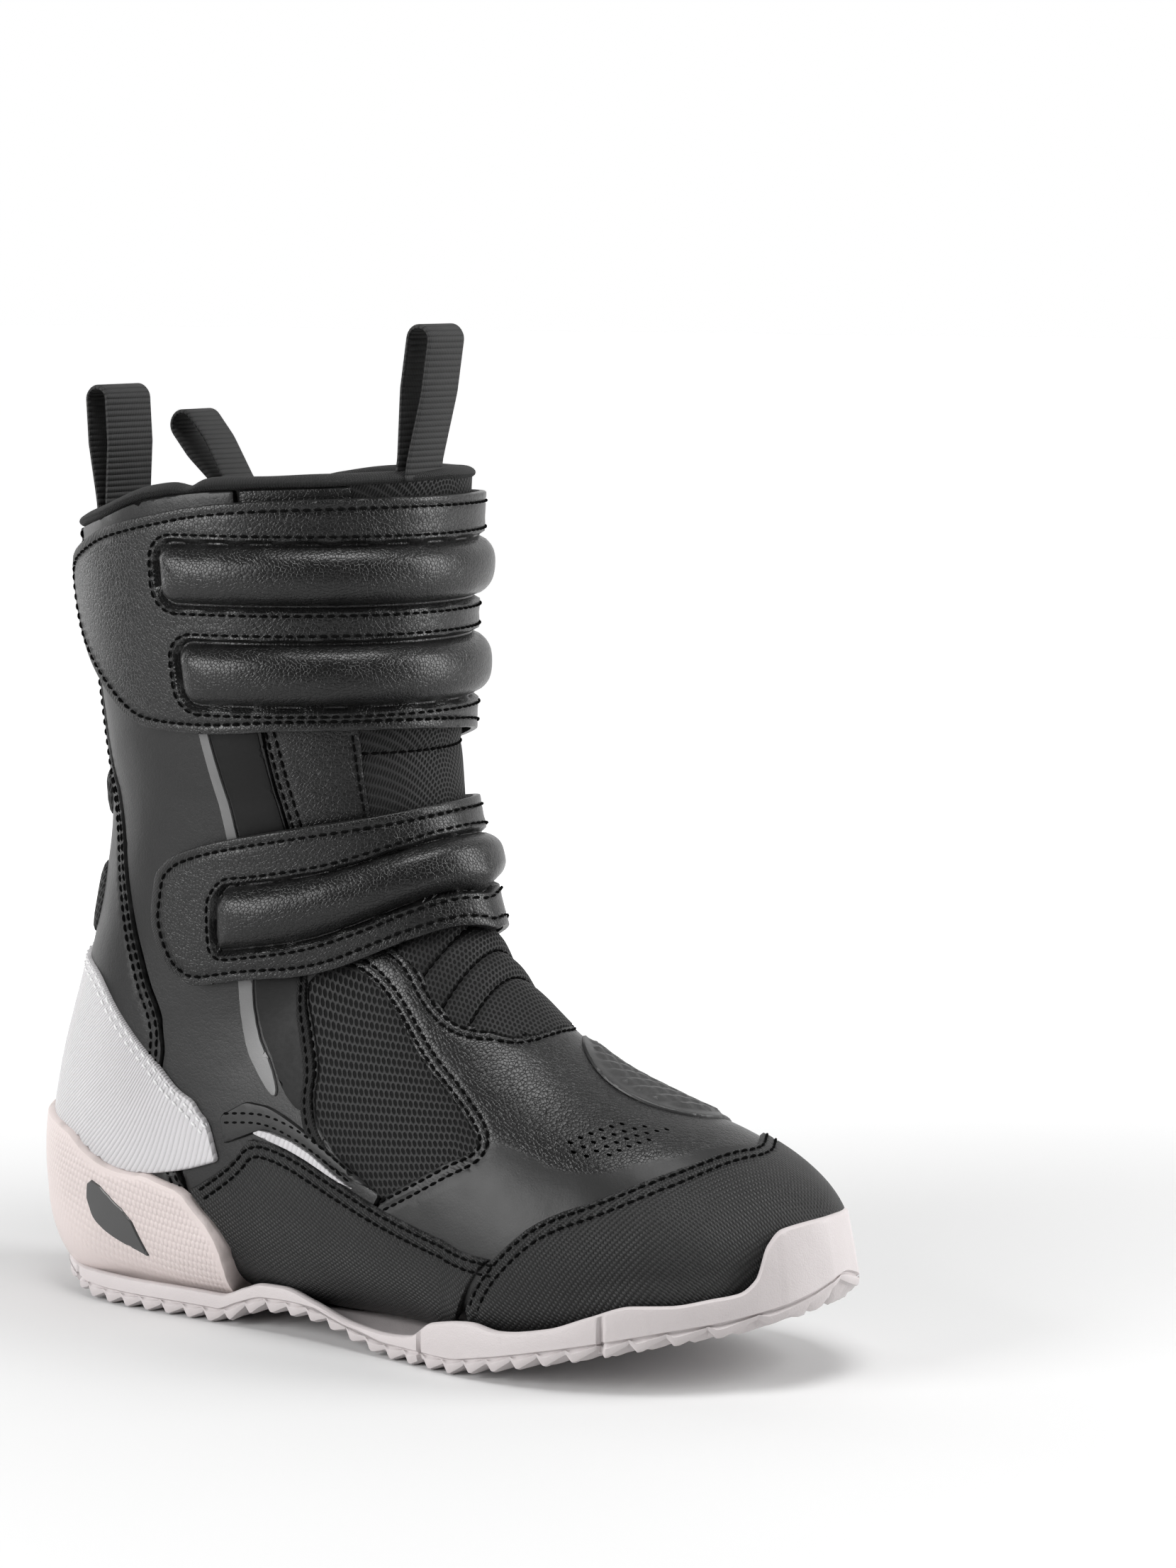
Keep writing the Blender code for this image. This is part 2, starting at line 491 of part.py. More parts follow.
def rim_line(v_start, v_end, side, count, height=0.0):
    """Points just over the sole's rim between two stations."""
    return [(float(v), rim_turn(v, side, height=height)) for v in np.linspace(v_start, v_end, count)]


# ================================================================= sole
def sole_loop(inward, count=40):
    """The sole's plan outline, moved inwards, as points evenly spaced along each side."""
    sides = []
    for outline in (SOLE_OUTER, SOLE_INNER):
        line = smooth_line(outline)
        run = np.r_[0, np.cumsum(np.linalg.norm(np.diff(line, axis=0), axis=1))]
        even = np.linspace(0, run[-1], count, endpoint=False)
        sides.append(np.stack([np.interp(even, run, line[:, k]) for k in range(2)], 1))
    return inset(np.vstack(sides), inward)


def build_outsole(finish):
    """Tread, side wall and the rim that cups the upper."""
    foot, wall, cup = sole_loop(TREAD_BEVEL), sole_loop(0.0), sole_loop(RIM_WIDTH)
    tread_z, plate_z = knots(TREAD_Z), knots(PLATE_Z)
    rings = [
        np.column_stack([foot, tread_z(foot[:, 0])]),
        np.column_stack([wall, tread_z(wall[:, 0]) + EDGE_BEVEL_HEIGHT]),
        np.column_stack([wall, RIM(wall[:, 0])]),
        np.column_stack([cup, RIM(wall[:, 0])]),
        np.column_stack([cup, np.minimum(plate_z(cup[:, 0]), RIM(wall[:, 0]) - 0.2)]),
    ]
    count = len(foot)
    points = list(np.vstack(rings))
    faces = []
    for ring in range(len(rings) - 1):
        for k in range(count):
            a, b = ring * count + k, ring * count + (k + 1) % count
            faces.append((a, b, b + count, a + count))
    for loop, ring, height in ((foot, 0, tread_z), (cup, len(rings) - 1, plate_z)):
        flat, triangles = flat_triangles(loop, lattice(loop, 15.0))
        start = len(points)
        lifted = np.column_stack([flat, height(flat[:, 0])])
        lifted[:count] = rings[ring]
        points += list(lifted)
        faces += [tuple(k + start for k in triangle) for triangle in triangles]
    return add_object("outsole", points, faces, finish, weld=True)


def build_shank(finish):
    """The stiff plate in the waist, between the outsole and the upper."""
    bpy.ops.mesh.primitive_cube_add(size=1.0)
    shank = bpy.context.object
    shank.name = "shank"
    shank.data.materials.append(finish)
    size = Matrix.Diagonal((*(np.array(SHANK_SIZE) * MM), 1.0))
    shank.data.transform(size)
    shank.location = (np.array(SHANK_CENTRE) - (ORIGIN_X, ORIGIN_Y, 0.0)) * MM
    return shank


# ================================================================= closed pieces round the whole leg
def collar_height(turn):
    return COLLAR(np.abs(turn))


def build_bootie(finish):
    """The waterproof lining sock, closed at the toe and open at the collar."""
    turns = np.linspace(-1, 1, BOOTIE_AROUND, endpoint=False)
    rows = {}
    for side in BOOTIE:
        made = []
        for v in BOOTIE_STATIONS:
            lift = max(0.0, (v - 2.3) / (BOOTIE_STATIONS[-1] - 2.3))
            target = collar_height(turns) - BELOW_COLLAR
            stations = v + lift * (target - BOOTIE_STATIONS[-1])
            made.append(UPPER.at(stations, turns, np.full(len(turns), side)))
        rows[side] = made
    return add_tube("bootie", rows[BOOTIE[1]], rows[BOOTIE[0]], finish)


def add_tube(name, outer, inner, finish):
    """A sock-shaped solid from its outer and inner rows, closed at the first row."""
    count = len(outer[0])
    points = np.vstack(outer + inner)
    faces = []
    shift = len(outer) * count
    for row in range(len(outer) - 1):
        for k in range(count):
            a, b = row * count + k, row * count + (k + 1) % count
            faces.append((a, b, b + count, a + count))
            faces.append((b + shift, a + shift, a + shift + count, b + shift + count))
    last = (len(outer) - 1) * count
    for k in range(count):
        a, b = last + k, last + (k + 1) % count
        faces.append((a, b, b + shift, a + shift))
    faces.append(tuple(range(count)))
    faces.append(tuple(k + shift for k in range(count)))
    return add_object(name, points, faces, finish)


def build_collar(finish):
    """The padded edge that runs round the top."""
    turns = np.linspace(-1, 1, COLLAR_AROUND, endpoint=False)
    ring = []
    for rise, height in COLLAR_SECTION:
        ring.append(UPPER.at(np.minimum(collar_height(turns) + rise, 3.0), turns,
                             np.full(len(turns), height)))
    for row, (rise, height) in zip(ring, COLLAR_SECTION):
        row[:, 2] += np.maximum(collar_height(turns) + rise - 3.0, 0.0) * (COLLAR_Z - PIVOT_Z)
    count, sides = len(turns), len(ring)
    faces = []
    for row in range(sides):
        for k in range(count):
            a, b = row * count + k, row * count + (k + 1) % count
            c, d = (row + 1) % sides * count + (k + 1) % count, (row + 1) % sides * count + k
            faces.append((a, b, c, d))
    return add_object("collar_binding", np.vstack(ring), faces, finish)


# ================================================================= closures
def build_upper_strap(leather, hook):
    """Wide calf strap: sewn base, free flap, two padded tubes on each and the hook tape."""
    moving = [panel("upper_strap_flap", UPPER_FLAP, STRAP, leather, cell=10.0)]
    panel("upper_strap_base", UPPER_BASE, STRAP, leather)
    for name, (low, high), turns in (("top", UPPER_PAD_TOP, (-0.522, 0.49)),
                                     ("low", UPPER_PAD_LOW, (-0.497, 0.46))):
        flap_end, base_start = HINGE_TURN - PAD_CLEAR, HINGE_TURN + PAD_CLEAR
        flap = [(low, turns[0]), (high, turns[0]), (high, flap_end), (low, flap_end)]
        base = [(low, base_start), (high, base_start), (high, turns[1]), (low, turns[1])]
        moving.append(panel("upper_pad_" + name, flap, STRAP_PAD, leather, crown=1.6, cell=9.0))
        panel("upper_pad_" + name + "_inner", base, STRAP_PAD, leather, crown=1.6, cell=9.0)
    moving.append(panel("upper_hook_tape", UPPER_HOOK, HOOK_TAPE, hook, cell=8.0))
    low, high = UPPER.at([2.2, 2.88], HINGE_TURN, STRAP[1] + FOLD_RISE)
    hang(moving, "upper_strap_fold", (low + high) / 2, high - low)


def across_instep(v, u, height):
    """Points of the lower strap, which spans straight from its upper edge to its lower one."""
    high, low = knots(LOWER_TOP_EDGE), knots(LOWER_BASE_EDGE)

    def ruled(turn, share):
        top, base = UPPER.at(high(turn), turn), UPPER.at(low(turn), turn)
        return top + (base - top) * share[:, None]

    share = (high(u) - v) / (high(u) - low(u))
    along = ruled(u + 0.01, share) - ruled(u - 0.01, share)
    normal = np.cross(ruled(u, share + 0.01) - ruled(u, share - 0.01), along)
    normal = normal / np.linalg.norm(normal, axis=1, keepdims=True)
    return ruled(u, share) + height[:, None] * normal


def build_lower_strap(leather, hook):
    """Instep strap: sewn base, free flap, one padded tube and the hook tape."""
    made = {}
    for name, outline, layer, crown in (("lower_strap_flap", LOWER_FLAP, STRAP, 0.0),
                                        ("lower_strap_base", LOWER_BASE, STRAP, 0.0),
                                        ("lower_pad", LOWER_PAD, STRAP_PAD, 1.6),
                                        ("lower_pad_inner", LOWER_PAD_INNER, STRAP_PAD, 1.6)):
        made[name] = panel(name, outline, layer, leather, cell=9.0, crown=crown, plane=STRAP_PLANE,
                           place=across_instep)
    tape = panel("lower_hook_tape", LOWER_HOOK, HOOK_TAPE, hook, cell=8.0, place=across_instep)
    ends = across_instep(np.array([1.45, 1.95]), np.full(2, HINGE_TURN - 0.01),
                         np.full(2, STRAP[1] + FOLD_RISE))
    hang([made["lower_strap_flap"], made["lower_pad"], tape], "lower_strap_fold", ends.mean(axis=0),
         ends[1] - ends[0])


def zip_frame():
    """Top point of the zip, its direction down, its direction across and its outward normal."""
    top = UPPER.at(ZIP_TOP[0], ZIP_TOP[1], ZIP_TOP[2])
    low = UPPER.at(ZIP_LOW[0], ZIP_LOW[1], ZIP_LOW[2])
    down = (low - top) / np.linalg.norm(low - top)
    out = UPPER.at(2.2, 0.57, 1.0) - UPPER.at(2.2, 0.57, 0.0)
    out = out - down * (out @ down)
    out = out / np.linalg.norm(out)
    return top, down, np.cross(out, down), out, np.linalg.norm(low - top)


def zip_box(name, along, across, height, finish, bevel=0.0):
    """A block on the zip line, from its extents along, across and out of it."""
    top, down, side, out, _ = zip_frame()
    corners = []
    for a in along:
        for b in across:
            for c in height:
                corners.append(top + down * a + side * b + out * c)
    faces = [(0, 1, 3, 2), (4, 6, 7, 5), (0, 4, 5, 1), (2, 3, 7, 6), (0, 2, 6, 4), (1, 5, 7, 3)]
    block = add_object(name, corners, faces, finish)
    if bevel:
        rounder = block.modifiers.new("edges", "BEVEL")
        rounder.width = bevel * MM
        rounder.segments = 1
    return block


def build_zip(tape, metal):
    """Two tapes with a row of teeth between them, a slider and its puller."""
    top, down, side, out, length = zip_frame()
    half = TEETH_WIDTH / 2
    zip_box("zip_tape_back", (0, length), (half + 0.3, half + TAPE_WIDTH), TAPE_HEIGHT, tape)
    zip_box("zip_tape_front", (0, length), (-half - TAPE_WIDTH, -half - 0.3), TAPE_HEIGHT, tape)
    zip_box("zip_teeth", (0, length), (-half, half), TEETH_HEIGHT, metal)
    slider = zip_box("zip_slider", (1, 1 + SLIDER[0]), (-SLIDER[1] / 2, SLIDER[1] / 2),
            (TEETH_HEIGHT[1] + 0.3, TEETH_HEIGHT[1] + 0.3 + SLIDER[2]), metal, bevel=0.4)
    puller_low = TEETH_HEIGHT[1] + 0.3 + SLIDER[2] + PULLER_GAP
    puller = zip_box("zip_puller", (PULLER[3], PULLER[3] + PULLER[0]),
                     (-PULLER[1] / 2, PULLER[1] / 2), (puller_low, puller_low + PULLER[2]), metal,
                     bevel=0.25)
    hang([slider], "zip_travel", top, down)
    hang([puller], "puller_swing", top + down * (PULLER[3] + 0.8) + out * (puller_low + 0.5), side)


def build_zip_flap(leather):
    """The leather flap over the zip, sewn along its front edge and lifted over the teeth."""
    front, back = knots(sorted(FLAP_FRONT)), knots(sorted(FLAP_BACK))
    grids = []
    for thick in (FLAP_THICK, 0.0):
        rows = []
        for v in np.linspace(*FLAP_ENDS, FLAP_ROWS):
            steps = np.array([step for step, _ in FLAP_LIFT])
            lifts = np.array([lift for _, lift in FLAP_LIFT])
            turns = front(v) + steps * (back(v) - front(v))
            rows.append(UPPER.at(np.full(len(turns), v), turns, lifts + thick))
        grids.append(np.vstack(rows))
    wide = len(FLAP_LIFT)
    triangles = []
    for row in range(FLAP_ROWS - 1):
        for k in range(wide - 1):
            a = row * wide + k
            triangles += [(a, a + 1, a + wide), (a + 1, a + wide + 1, a + wide)]
    flap = add_object("zip_flap", *slab(*grids, triangles), leather)
    stations = np.linspace(*FLAP_ENDS, 25)
    edge = UPPER.at(stations, front(stations) - 0.004, np.full(25, FLAP_FOLD))
    middle = edge.mean(axis=0)
    hang([flap], "zip_flap_fold", middle, -np.linalg.svd(edge - middle)[2][0])


def foot_of_loop(v, u):
    """A point over the middle of the collar's thickness; stations over 3 go straight up."""
    foot = UPPER.at(min(v, 3.0), u, LOOP_DEPTH)
    return foot + np.array([0.0, 0.0, max(v - 3.0, 0.0) * (COLLAR_Z - PIVOT_Z)])


def build_pull_loop(name, foot, lean, size, finish):
    """A loop of webbing that stands on its foot point: an upside-down U, leaning fore or aft."""
    width, height, gap, thick = size
    half = gap / 2
    bends = [math.pi * k / 8 for k in range(9)]
    straight = height - half
    outer = [(half, 0.0), *[(half * math.cos(a), straight + half * math.sin(a)) for a in bends],
             (-half, 0.0)]
    small = half - thick
    inner = [(-small, 0.0), *[(-small * math.cos(a), straight + small * math.sin(a)) for a in bends],
             (small, 0.0)]
    outline = outer + inner
    turn = Matrix.Rotation(math.radians(lean), 3, "Y")
    points = []
    for side in (-width / 2, width / 2):
        points += [np.array(turn @ Vector((x, side, z))) + foot for x, z in outline]
    count = len(outline)
    faces = [tuple(range(count)), tuple(range(2 * count - 1, count - 1, -1))]
    faces += [(k, k + count, (k + 1) % count + count, (k + 1) % count) for k in range(count)]
    return add_object(name, points, faces, finish)


# ================================================================= the boot
def build_upper(leather, smooth, mesh, reflective, heel_leather, shell, rubber):
    """Lasted panels edge to edge, then what is sewn and moulded over them."""
    last = LASTING_TURN
    side_split = [(1.13, -0.54), (1.15, -0.62), (1.2, -last)]
    tongue = TONGUE_OUTER + TONGUE_INNER + top_line(0.22, -0.185, count=4)
    panel("tongue_gaiter", tongue, LEATHER, mesh)
    panel("facing_outer", top_line(-0.185, -0.375, count=3) + FACING_EDGE + [(1.52, -0.153)]
          + backwards(TONGUE_OUTER[:3]), LEATHER, leather)
    panel("vamp", MESH_TOP + VAMP_SIDE[1:] + [(1.34, 0.16)]
          + backwards(TONGUE_INNER[:4]) + backwards(TONGUE_OUTER[3:]) + [(1.52, -0.153)],
          LEATHER, leather)
    panel("mesh_panel_outer", MESH_TOP + MESH_LOW[1:], LEATHER, mesh)
    margin = [(float(v), -last) for v in np.linspace(1.2, 0.1, 12)]
    panel("vamp_side_outer", MESH_LOW[:3] + side_split + margin[1:] + [(0.06, -0.7), (0.06, 0.02)]
          + backwards(VAMP_SIDE[:9]), LEATHER, smooth, plane=EDGE_PLANE)
    margin = [(float(v), last) for v in np.linspace(0.1, 1.35, 13)] + [(1.40, 0.84)]
    panel("vamp_side_inner", VAMP_SIDE[8:] + [(1.47, 0.31), (1.5, 0.38), (1.40, 0.44), (1.40, 0.52),
                                              (1.42, 0.56), (1.5, 0.60), (1.42, 0.70)]
          + backwards(margin) + [(0.06, 0.7), (0.06, 0.02)], LEATHER, smooth, plane=EDGE_PLANE)
    panel("quarter_outer", top_line(-0.38, -0.81) + HEEL_EDGE + side_split[::-1] + MESH_LOW[4:]
          + backwards(FACING_EDGE), LEATHER, leather)
    panel("quarter_inner", top_line(0.67, 0.81, count=3) + mirrored(HEEL_EDGE[:-2]) + [(1.42, 0.56)]
          + ZIP_BACK, LEATHER, leather)
    panel("facing_inner", top_line(0.225, 0.56) + ZIP_FRONT[:-1]
          + [(1.47, 0.31), (1.33, 0.24)] + TONGUE_INNER[4:], LEATHER, leather)
    panel("zip_gusset", ZIP_FRONT + ZIP_BACK + top_line(0.665, 0.562, count=3), GUSSET, mesh)
    rear = [(v, u - 2) for v, u in mirrored(HEEL_EDGE)]
    under = [(1.44, -0.87), (1.50, -0.92), (1.53, -1.0), (1.50, -1.08), (1.44, -1.13)]
    panel("rear_panel", top_line(-1.18, -0.82) + HEEL_EDGE + under + backwards(rear), LEATHER,
          leather, cell=10.0, plane=HEEL_PLANE, gap=2 * SEAM)

    over = OVERLAY[1]
    cap = CAP_SEAM + rim_line(0.84, 0.28, 1, 6, over) + CAP_BUMPER + rim_line(0.28, 0.93, -1, 7, over)
    panel("toe_cap", cap, OVERLAY, smooth, cell=9.0, plane=EDGE_PLANE)
    cap_side = [(v + 0.008, u) for v, u in backwards(CAP_SEAM[:3])]
    panel("rand_outer", RAND_TOP_OUTER + cap_side[1:] + rim_line(0.98, 1.31, -1, 10, over)
          + backwards(mirrored(COUNTER_FRONT[:-1])), OVERLAY, smooth, cell=10.0,
          plane=HEEL_PLANE)
    cap_side = [(v + 0.008, u) for v, u in CAP_SEAM[-3:]]
    panel("rand_inner", RAND_TOP_INNER + cap_side + rim_line(0.90, 1.31, 1, 11, over)
          + backwards(COUNTER_FRONT[:-1]), OVERLAY, smooth, cell=10.0, plane=HEEL_PLANE)
    panel("side_strip", SIDE_STRIP, OVERLAY, leather, cell=8.0, gap=0.3)
    panel("shift_pad", SHIFT_PAD_LINE, SHIFT_PAD, rubber, cell=9.0)
    panel("reflective_strip", REFLECTIVE_LINE, TRIM, reflective, gap=0.2)

    top = mirrored(COUNTER_TOP) + [(v, u - 2) for v, u in backwards(COUNTER_TOP[:-1])]
    front_inner = [(v, u - 2) for v, u in COUNTER_FRONT]
    base_inner = [(v, u - 2) for v, u in rim_line(1.345, 1.49, 1, 4, height=3.0)]
    base_outer = rim_line(1.49, 1.345, -1, 4, height=3.0)
    panel("heel_counter", backwards(mirrored(COUNTER_FRONT)) + top + front_inner + base_inner
          + [(1.535, -1.0)] + base_outer, COUNTER, shell, cell=9.0, plane=HEEL_PLANE)
    panel_front = mirrored(HEEL_PANEL_FRONT)
    panel_back = [(v, u - 2) for v, u in backwards(HEEL_PANEL_FRONT[:-1])]
    low = [(v + 0.012, u) for v, u in backwards(top[:-1])]
    panel("heel_panel", panel_front + panel_back + low, OVERLAY, heel_leather, plane=HEEL_PLANE)
    panel("heel_badge", BADGE_LINE, BADGE, reflective, cell=5.0, gap=0.1, plane=HEEL_PLANE)


def build_inside(board, foam, plastic):
    """Stiffeners, ankle cups, lasting board and removable footbed."""
    toe = [(v, u) for u in (-0.6, 0.6) for v in (0.14, 0.60)]
    panel("toe_stiffener", [toe[0], toe[1], (0.52, 0.0), toe[3], toe[2], (0.14, 0.0)], STIFFENER,
          plastic, cell=12.0)
    heel = [(1.66, -0.78), (1.44, -0.70), (1.45, -0.78), (1.51, -0.87), (1.60, -1.0), (1.51, -1.13),
            (1.45, -1.22), (1.44, -1.30), (1.66, -1.22), (1.72, -1.0)]
    panel("heel_stiffener", heel, STIFFENER, plastic, cell=9.0, plane=HEEL_PLANE)
    for name, side in (("ankle_cup_outer", -1), ("ankle_cup_inner", 1)):
        cup = [(1.66 + 0.13 * math.cos(a), side * (0.50 + 0.14 * math.sin(a)))
               for a in np.linspace(0, 2 * math.pi, 16, endpoint=False)]
        panel(name, cup, ANKLE_CUP, foam, cell=12.0)
    for name, start, layer, finish in (("lasting_board", 0.14, LEATHER, board),
                                       ("footbed", 0.26, FOOTBED, foam)):
        side = [(start, -0.885), (1.40, -0.885), (1.47, -0.93)]
        outline = side + [(1.49, -1.0)] + [(v, -2 - u) for v, u in backwards(side)]
        panel(name, outline, layer, finish, plane=EDGE_PLANE)


def build_boot():
    leather = material("black_leather", (0.03, 0.03, 0.031), 0.55)
    smooth = material("black_microfibre", (0.035, 0.035, 0.036), 0.5)
    mesh = material("black_mesh", (0.02, 0.02, 0.02), 0.85)
    webbing = material("black_webbing", (0.022, 0.022, 0.022), 0.8)
    pale = material("pale_rubber", (0.68, 0.63, 0.63), 0.6)
    pale_leather = material("pale_heel_leather", (0.72, 0.70, 0.72), 0.55)
    shell = material("heel_shell", (0.72, 0.64, 0.61), 0.5)
    rubber = material("black_rubber", (0.03, 0.03, 0.03), 0.45)
    reflective = material("grey_reflective", (0.25, 0.25, 0.26), 0.4)
    lining = material("grey_lining", (0.09, 0.09, 0.095), 0.9)
    board = material("lasting_board", (0.35, 0.28, 0.2), 0.8)
    foam = material("foam", (0.12, 0.12, 0.13), 0.9)
    plastic = material("stiffener", (0.5, 0.5, 0.48), 0.5)
    metal = material("dark_metal", (0.08, 0.08, 0.085), 0.35, 0.9)
    tape = material("hook_and_loop", (0.015, 0.015, 0.015), 0.95)

    build_outsole(pale)
    build_shank(plastic)
    build_upper(leather, smooth, mesh, reflective, pale_leather, shell, rubber)
    build_inside(board, foam, plastic)
    build_bootie(lining)
    build_collar(webbing)
    build_upper_strap(leather, tape)
    build_lower_strap(leather, tape)
    panel("upper_loop_tape", UPPER_LOOP_TAPE, TRIM, tape, cell=8.0)
    panel("lower_loop_tape", LOWER_LOOP_TAPE, TRIM, tape, cell=8.0)
    build_zip(webbing, metal)
    build_zip_flap(leather)
    for name, (v, u), lean, size in PULL_LOOPS:
        foot = foot_of_loop(v, u)
        hang([build_pull_loop(name, foot, lean, size, webbing)], name + "_bend", foot, (0.0, 1.0, 0.0))


for old in list(bpy.data.objects):
    bpy.data.objects.remove(old, do_unlink=True)
UPPER = Surface()
COLLAR = knots(COLLAR_LINE)
RIM = knots(RIM_Z)
build_boot()
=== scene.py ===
"""Looks of the right touring boot: fine leather, fabric, rubber, stitches and light over its CAD frame.

Lengths are in millimetres and become metres when a mesh is made. +X is the toe, +Y the inner (medial)
side, +Z up. As in the part itself, a point of the upper is (v, u, height): v is the station, 0 at the
toe tip, 1 below the ankle pivot, 2 level with it at the back and 3 at the collar; u runs round each
section, 0 on the front or top middle line, -1 and 1 on the back or bottom one, negative outwards.
"""
import math

import bmesh
import bpy
import numpy as np
from mathutils import Matrix, Vector, noise
from mathutils.geometry import delaunay_2d_cdt
from mathutils.kdtree import KDTree


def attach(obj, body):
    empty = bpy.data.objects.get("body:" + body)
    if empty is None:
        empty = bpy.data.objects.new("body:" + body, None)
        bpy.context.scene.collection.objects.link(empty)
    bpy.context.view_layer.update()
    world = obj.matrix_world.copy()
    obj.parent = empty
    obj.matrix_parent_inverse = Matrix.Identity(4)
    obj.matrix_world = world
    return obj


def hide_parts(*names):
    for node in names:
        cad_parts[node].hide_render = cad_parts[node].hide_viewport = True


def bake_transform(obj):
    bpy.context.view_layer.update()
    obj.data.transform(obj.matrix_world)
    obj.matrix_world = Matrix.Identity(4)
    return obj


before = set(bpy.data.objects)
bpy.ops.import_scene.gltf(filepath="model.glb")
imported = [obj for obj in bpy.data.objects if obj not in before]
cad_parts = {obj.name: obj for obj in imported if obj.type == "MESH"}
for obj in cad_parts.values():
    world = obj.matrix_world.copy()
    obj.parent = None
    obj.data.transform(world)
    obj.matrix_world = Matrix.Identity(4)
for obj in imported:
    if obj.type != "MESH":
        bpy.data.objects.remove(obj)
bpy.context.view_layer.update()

MM = 0.001
# The part's middle, which the frame puts at zero.
ORIGIN = (1.106, -0.104, 0.0)

# ---------------------------------------------------------------- driving dimensions of the last
PIVOT_X = 36.0
PIVOT_Z = 178.0
COLLAR_Z = 290.0
TOE_X = 147.6
FRONT_PROFILE = [(148, 42), (145, 54), (131, 66), (108, 77), (84, 85.5), (60, 96), (41, 110), (24, 129),
                 (11, 151), (4, 176), (1.5, 205), (1, 240), (3, 270), (4.5, 292)]
BACK_PROFILE = [(148, 42), (144, 33), (128, 25), (102, 18.5), (64, 11.5), (10, 11), (-50, 12),
                (-100, 11), (-132, 13), (-145, 26), (-148, 46), (-143.5, 78), (-135, 108), (-127, 138),
                (-123, 168), (-125, 200), (-129, 235), (-133, 270), (-136, 292)]
# Half widths of the widest line: against x in the foot, against the turn in degrees round the ankle,
# and against z in the shaft.
FOOT_OUTER = [(36, 50), (60, 52), (80, 50.5), (100, 46), (118, 38), (132, 28), (142, 16), (147, 7),
              (148, 0.5)]
FOOT_INNER = [(36, 44), (60, 47), (80, 47), (100, 44.2), (118, 38.5), (132, 29.5), (142, 17.8), (147, 8),
              (148, 0.5)]
ANKLE_OUTER = [(0, 50), (20, 47), (40, 43), (60, 42), (90, 46)]
ANKLE_INNER = [(0, 44), (20, 39.5), (40, 39), (60, 40.5), (90, 46)]
SHAFT_HALF = [(178, 46), (205, 50), (240, 53.5), (290, 57)]
MIDDLE_Y = [(-150, 0), (30, 0), (80, 1.5), (120, 5), (153, 9)]
WIDEST_AT = [(0, 0.62), (0.6, 0.72), (1, 0.76), (1.3, 0.70), (1.6, 0.56), (2, 0.5), (3, 0.5)]
FRONT_POWER = [(0, 2.0), (0.5, 2.1), (1, 1.9), (1.5, 1.9), (2, 2.05), (3, 2.1)]
BACK_POWER = [(0, 2.6), (0.5, 3.6), (1, 3.6), (1.35, 3.2), (1.6, 3.0), (2, 2.35), (3, 2.2)]
# Rows of the surface's table, and columns of each of its two sides.
STATIONS = 301
ROUND = 121

# ---------------------------------------------------------------- layers over the surface
PANEL_BASE = -1.4
# Under and outer heights of a strap.
STRAP = (3.1, 5.1)
PAD_TOP = 9.2
FLAP_THICK = 1.4
# Points nearer than this are one point; a step this small in (v, u) tells the surface's slope.
WELD = 0.01
TINY = 0.004
# Millimetres to a station and to a turn, where an outline is spread flat to be meshed.
PLANE = (110.0, 140.0)
HEEL_PLANE = (200.0, 180.0)
EDGE_PLANE = (110.0, 180.0)
STRAP_PLANE = (150.0, 220.0)

# ---------------------------------------------------------------- outline points, (v, u) unless said
# The collar's station against the turn, on either side.
COLLAR_LINE = [(0, 2.955), (0.4, 2.935), (0.55, 2.905), (0.7, 2.83), (0.85, 2.79), (1, 2.78)]
TONGUE_OUTER = [(2.2, -0.18), (1.98, -0.17), (1.6, -0.155), (1.34, -0.145), (1.17, -0.18),
                (1.07, -0.175), (0.98, -0.12), (0.95, -0.05)]
TONGUE_INNER = [(0.95, 0.05), (0.98, 0.12), (1.07, 0.17), (1.17, 0.18), (1.34, 0.16), (1.6, 0.17),
                (1.98, 0.2), (2.2, 0.215)]
FACING_EDGE = [(2.2, -0.36), (1.93, -0.335), (1.7, -0.27), (1.52, -0.225)]
MESH_TOP = [(1.52, -0.225), (1.42, -0.215), (1.26, -0.245), (1.13, -0.285), (1.03, -0.305),
            (0.955, -0.34)]
MESH_LOW = [(0.955, -0.34), (0.97, -0.38), (1.065, -0.475), (1.13, -0.54), (1.235, -0.515),
            (1.30, -0.48), (1.34, -0.43), (1.36, -0.385), (1.44, -0.32), (1.52, -0.27)]
HEEL_EDGE = [(2.3, -0.82), (2.05, -0.80), (1.95, -0.75), (1.87, -0.72), (1.79, -0.675),
             (1.70, -0.605), (1.645, -0.56), (1.60, -0.55), (1.5, -0.60), (1.42, -0.70), (1.40, -0.84)]
ZIP_FRONT = [(2.5, 0.54), (2.22, 0.508), (2.0, 0.47), (1.88, 0.44), (1.7, 0.392), (1.6, 0.365),
             (1.5, 0.38), (1.40, 0.44)]
ZIP_BACK = [(1.40, 0.52), (1.5, 0.485), (1.7, 0.515), (1.88, 0.57), (2.0, 0.60), (2.22, 0.63),
            (2.5, 0.66)]
SIDE_SPLIT = [(1.13, -0.54), (1.15, -0.62), (1.2, -0.86)]
FACING_FOOT = (1.52, -0.153)
GUSSET_EDGE = [(1.40, 0.84), (1.42, 0.70), (1.5, 0.60), (1.42, 0.56), (1.40, 0.52), (1.40, 0.44),
               (1.5, 0.38), (1.47, 0.31), (1.33, 0.24), (1.34, 0.16)]
HEEL_UNDER = [(1.44, -0.87), (1.50, -0.92), (1.53, -1.0), (1.50, -1.08), (1.44, -1.13)]
OUTER_HOLES = [(0.78, -0.28), (0.78, -0.22), (0.73, -0.167), (0.59, -0.10), (0.63, -0.225),
               (0.73, -0.292)]
INNER_HOLES = [(1.20, 0.34), (1.32, 0.29), (1.42, 0.33), (1.36, 0.40), (1.22, 0.43), (1.14, 0.40)]
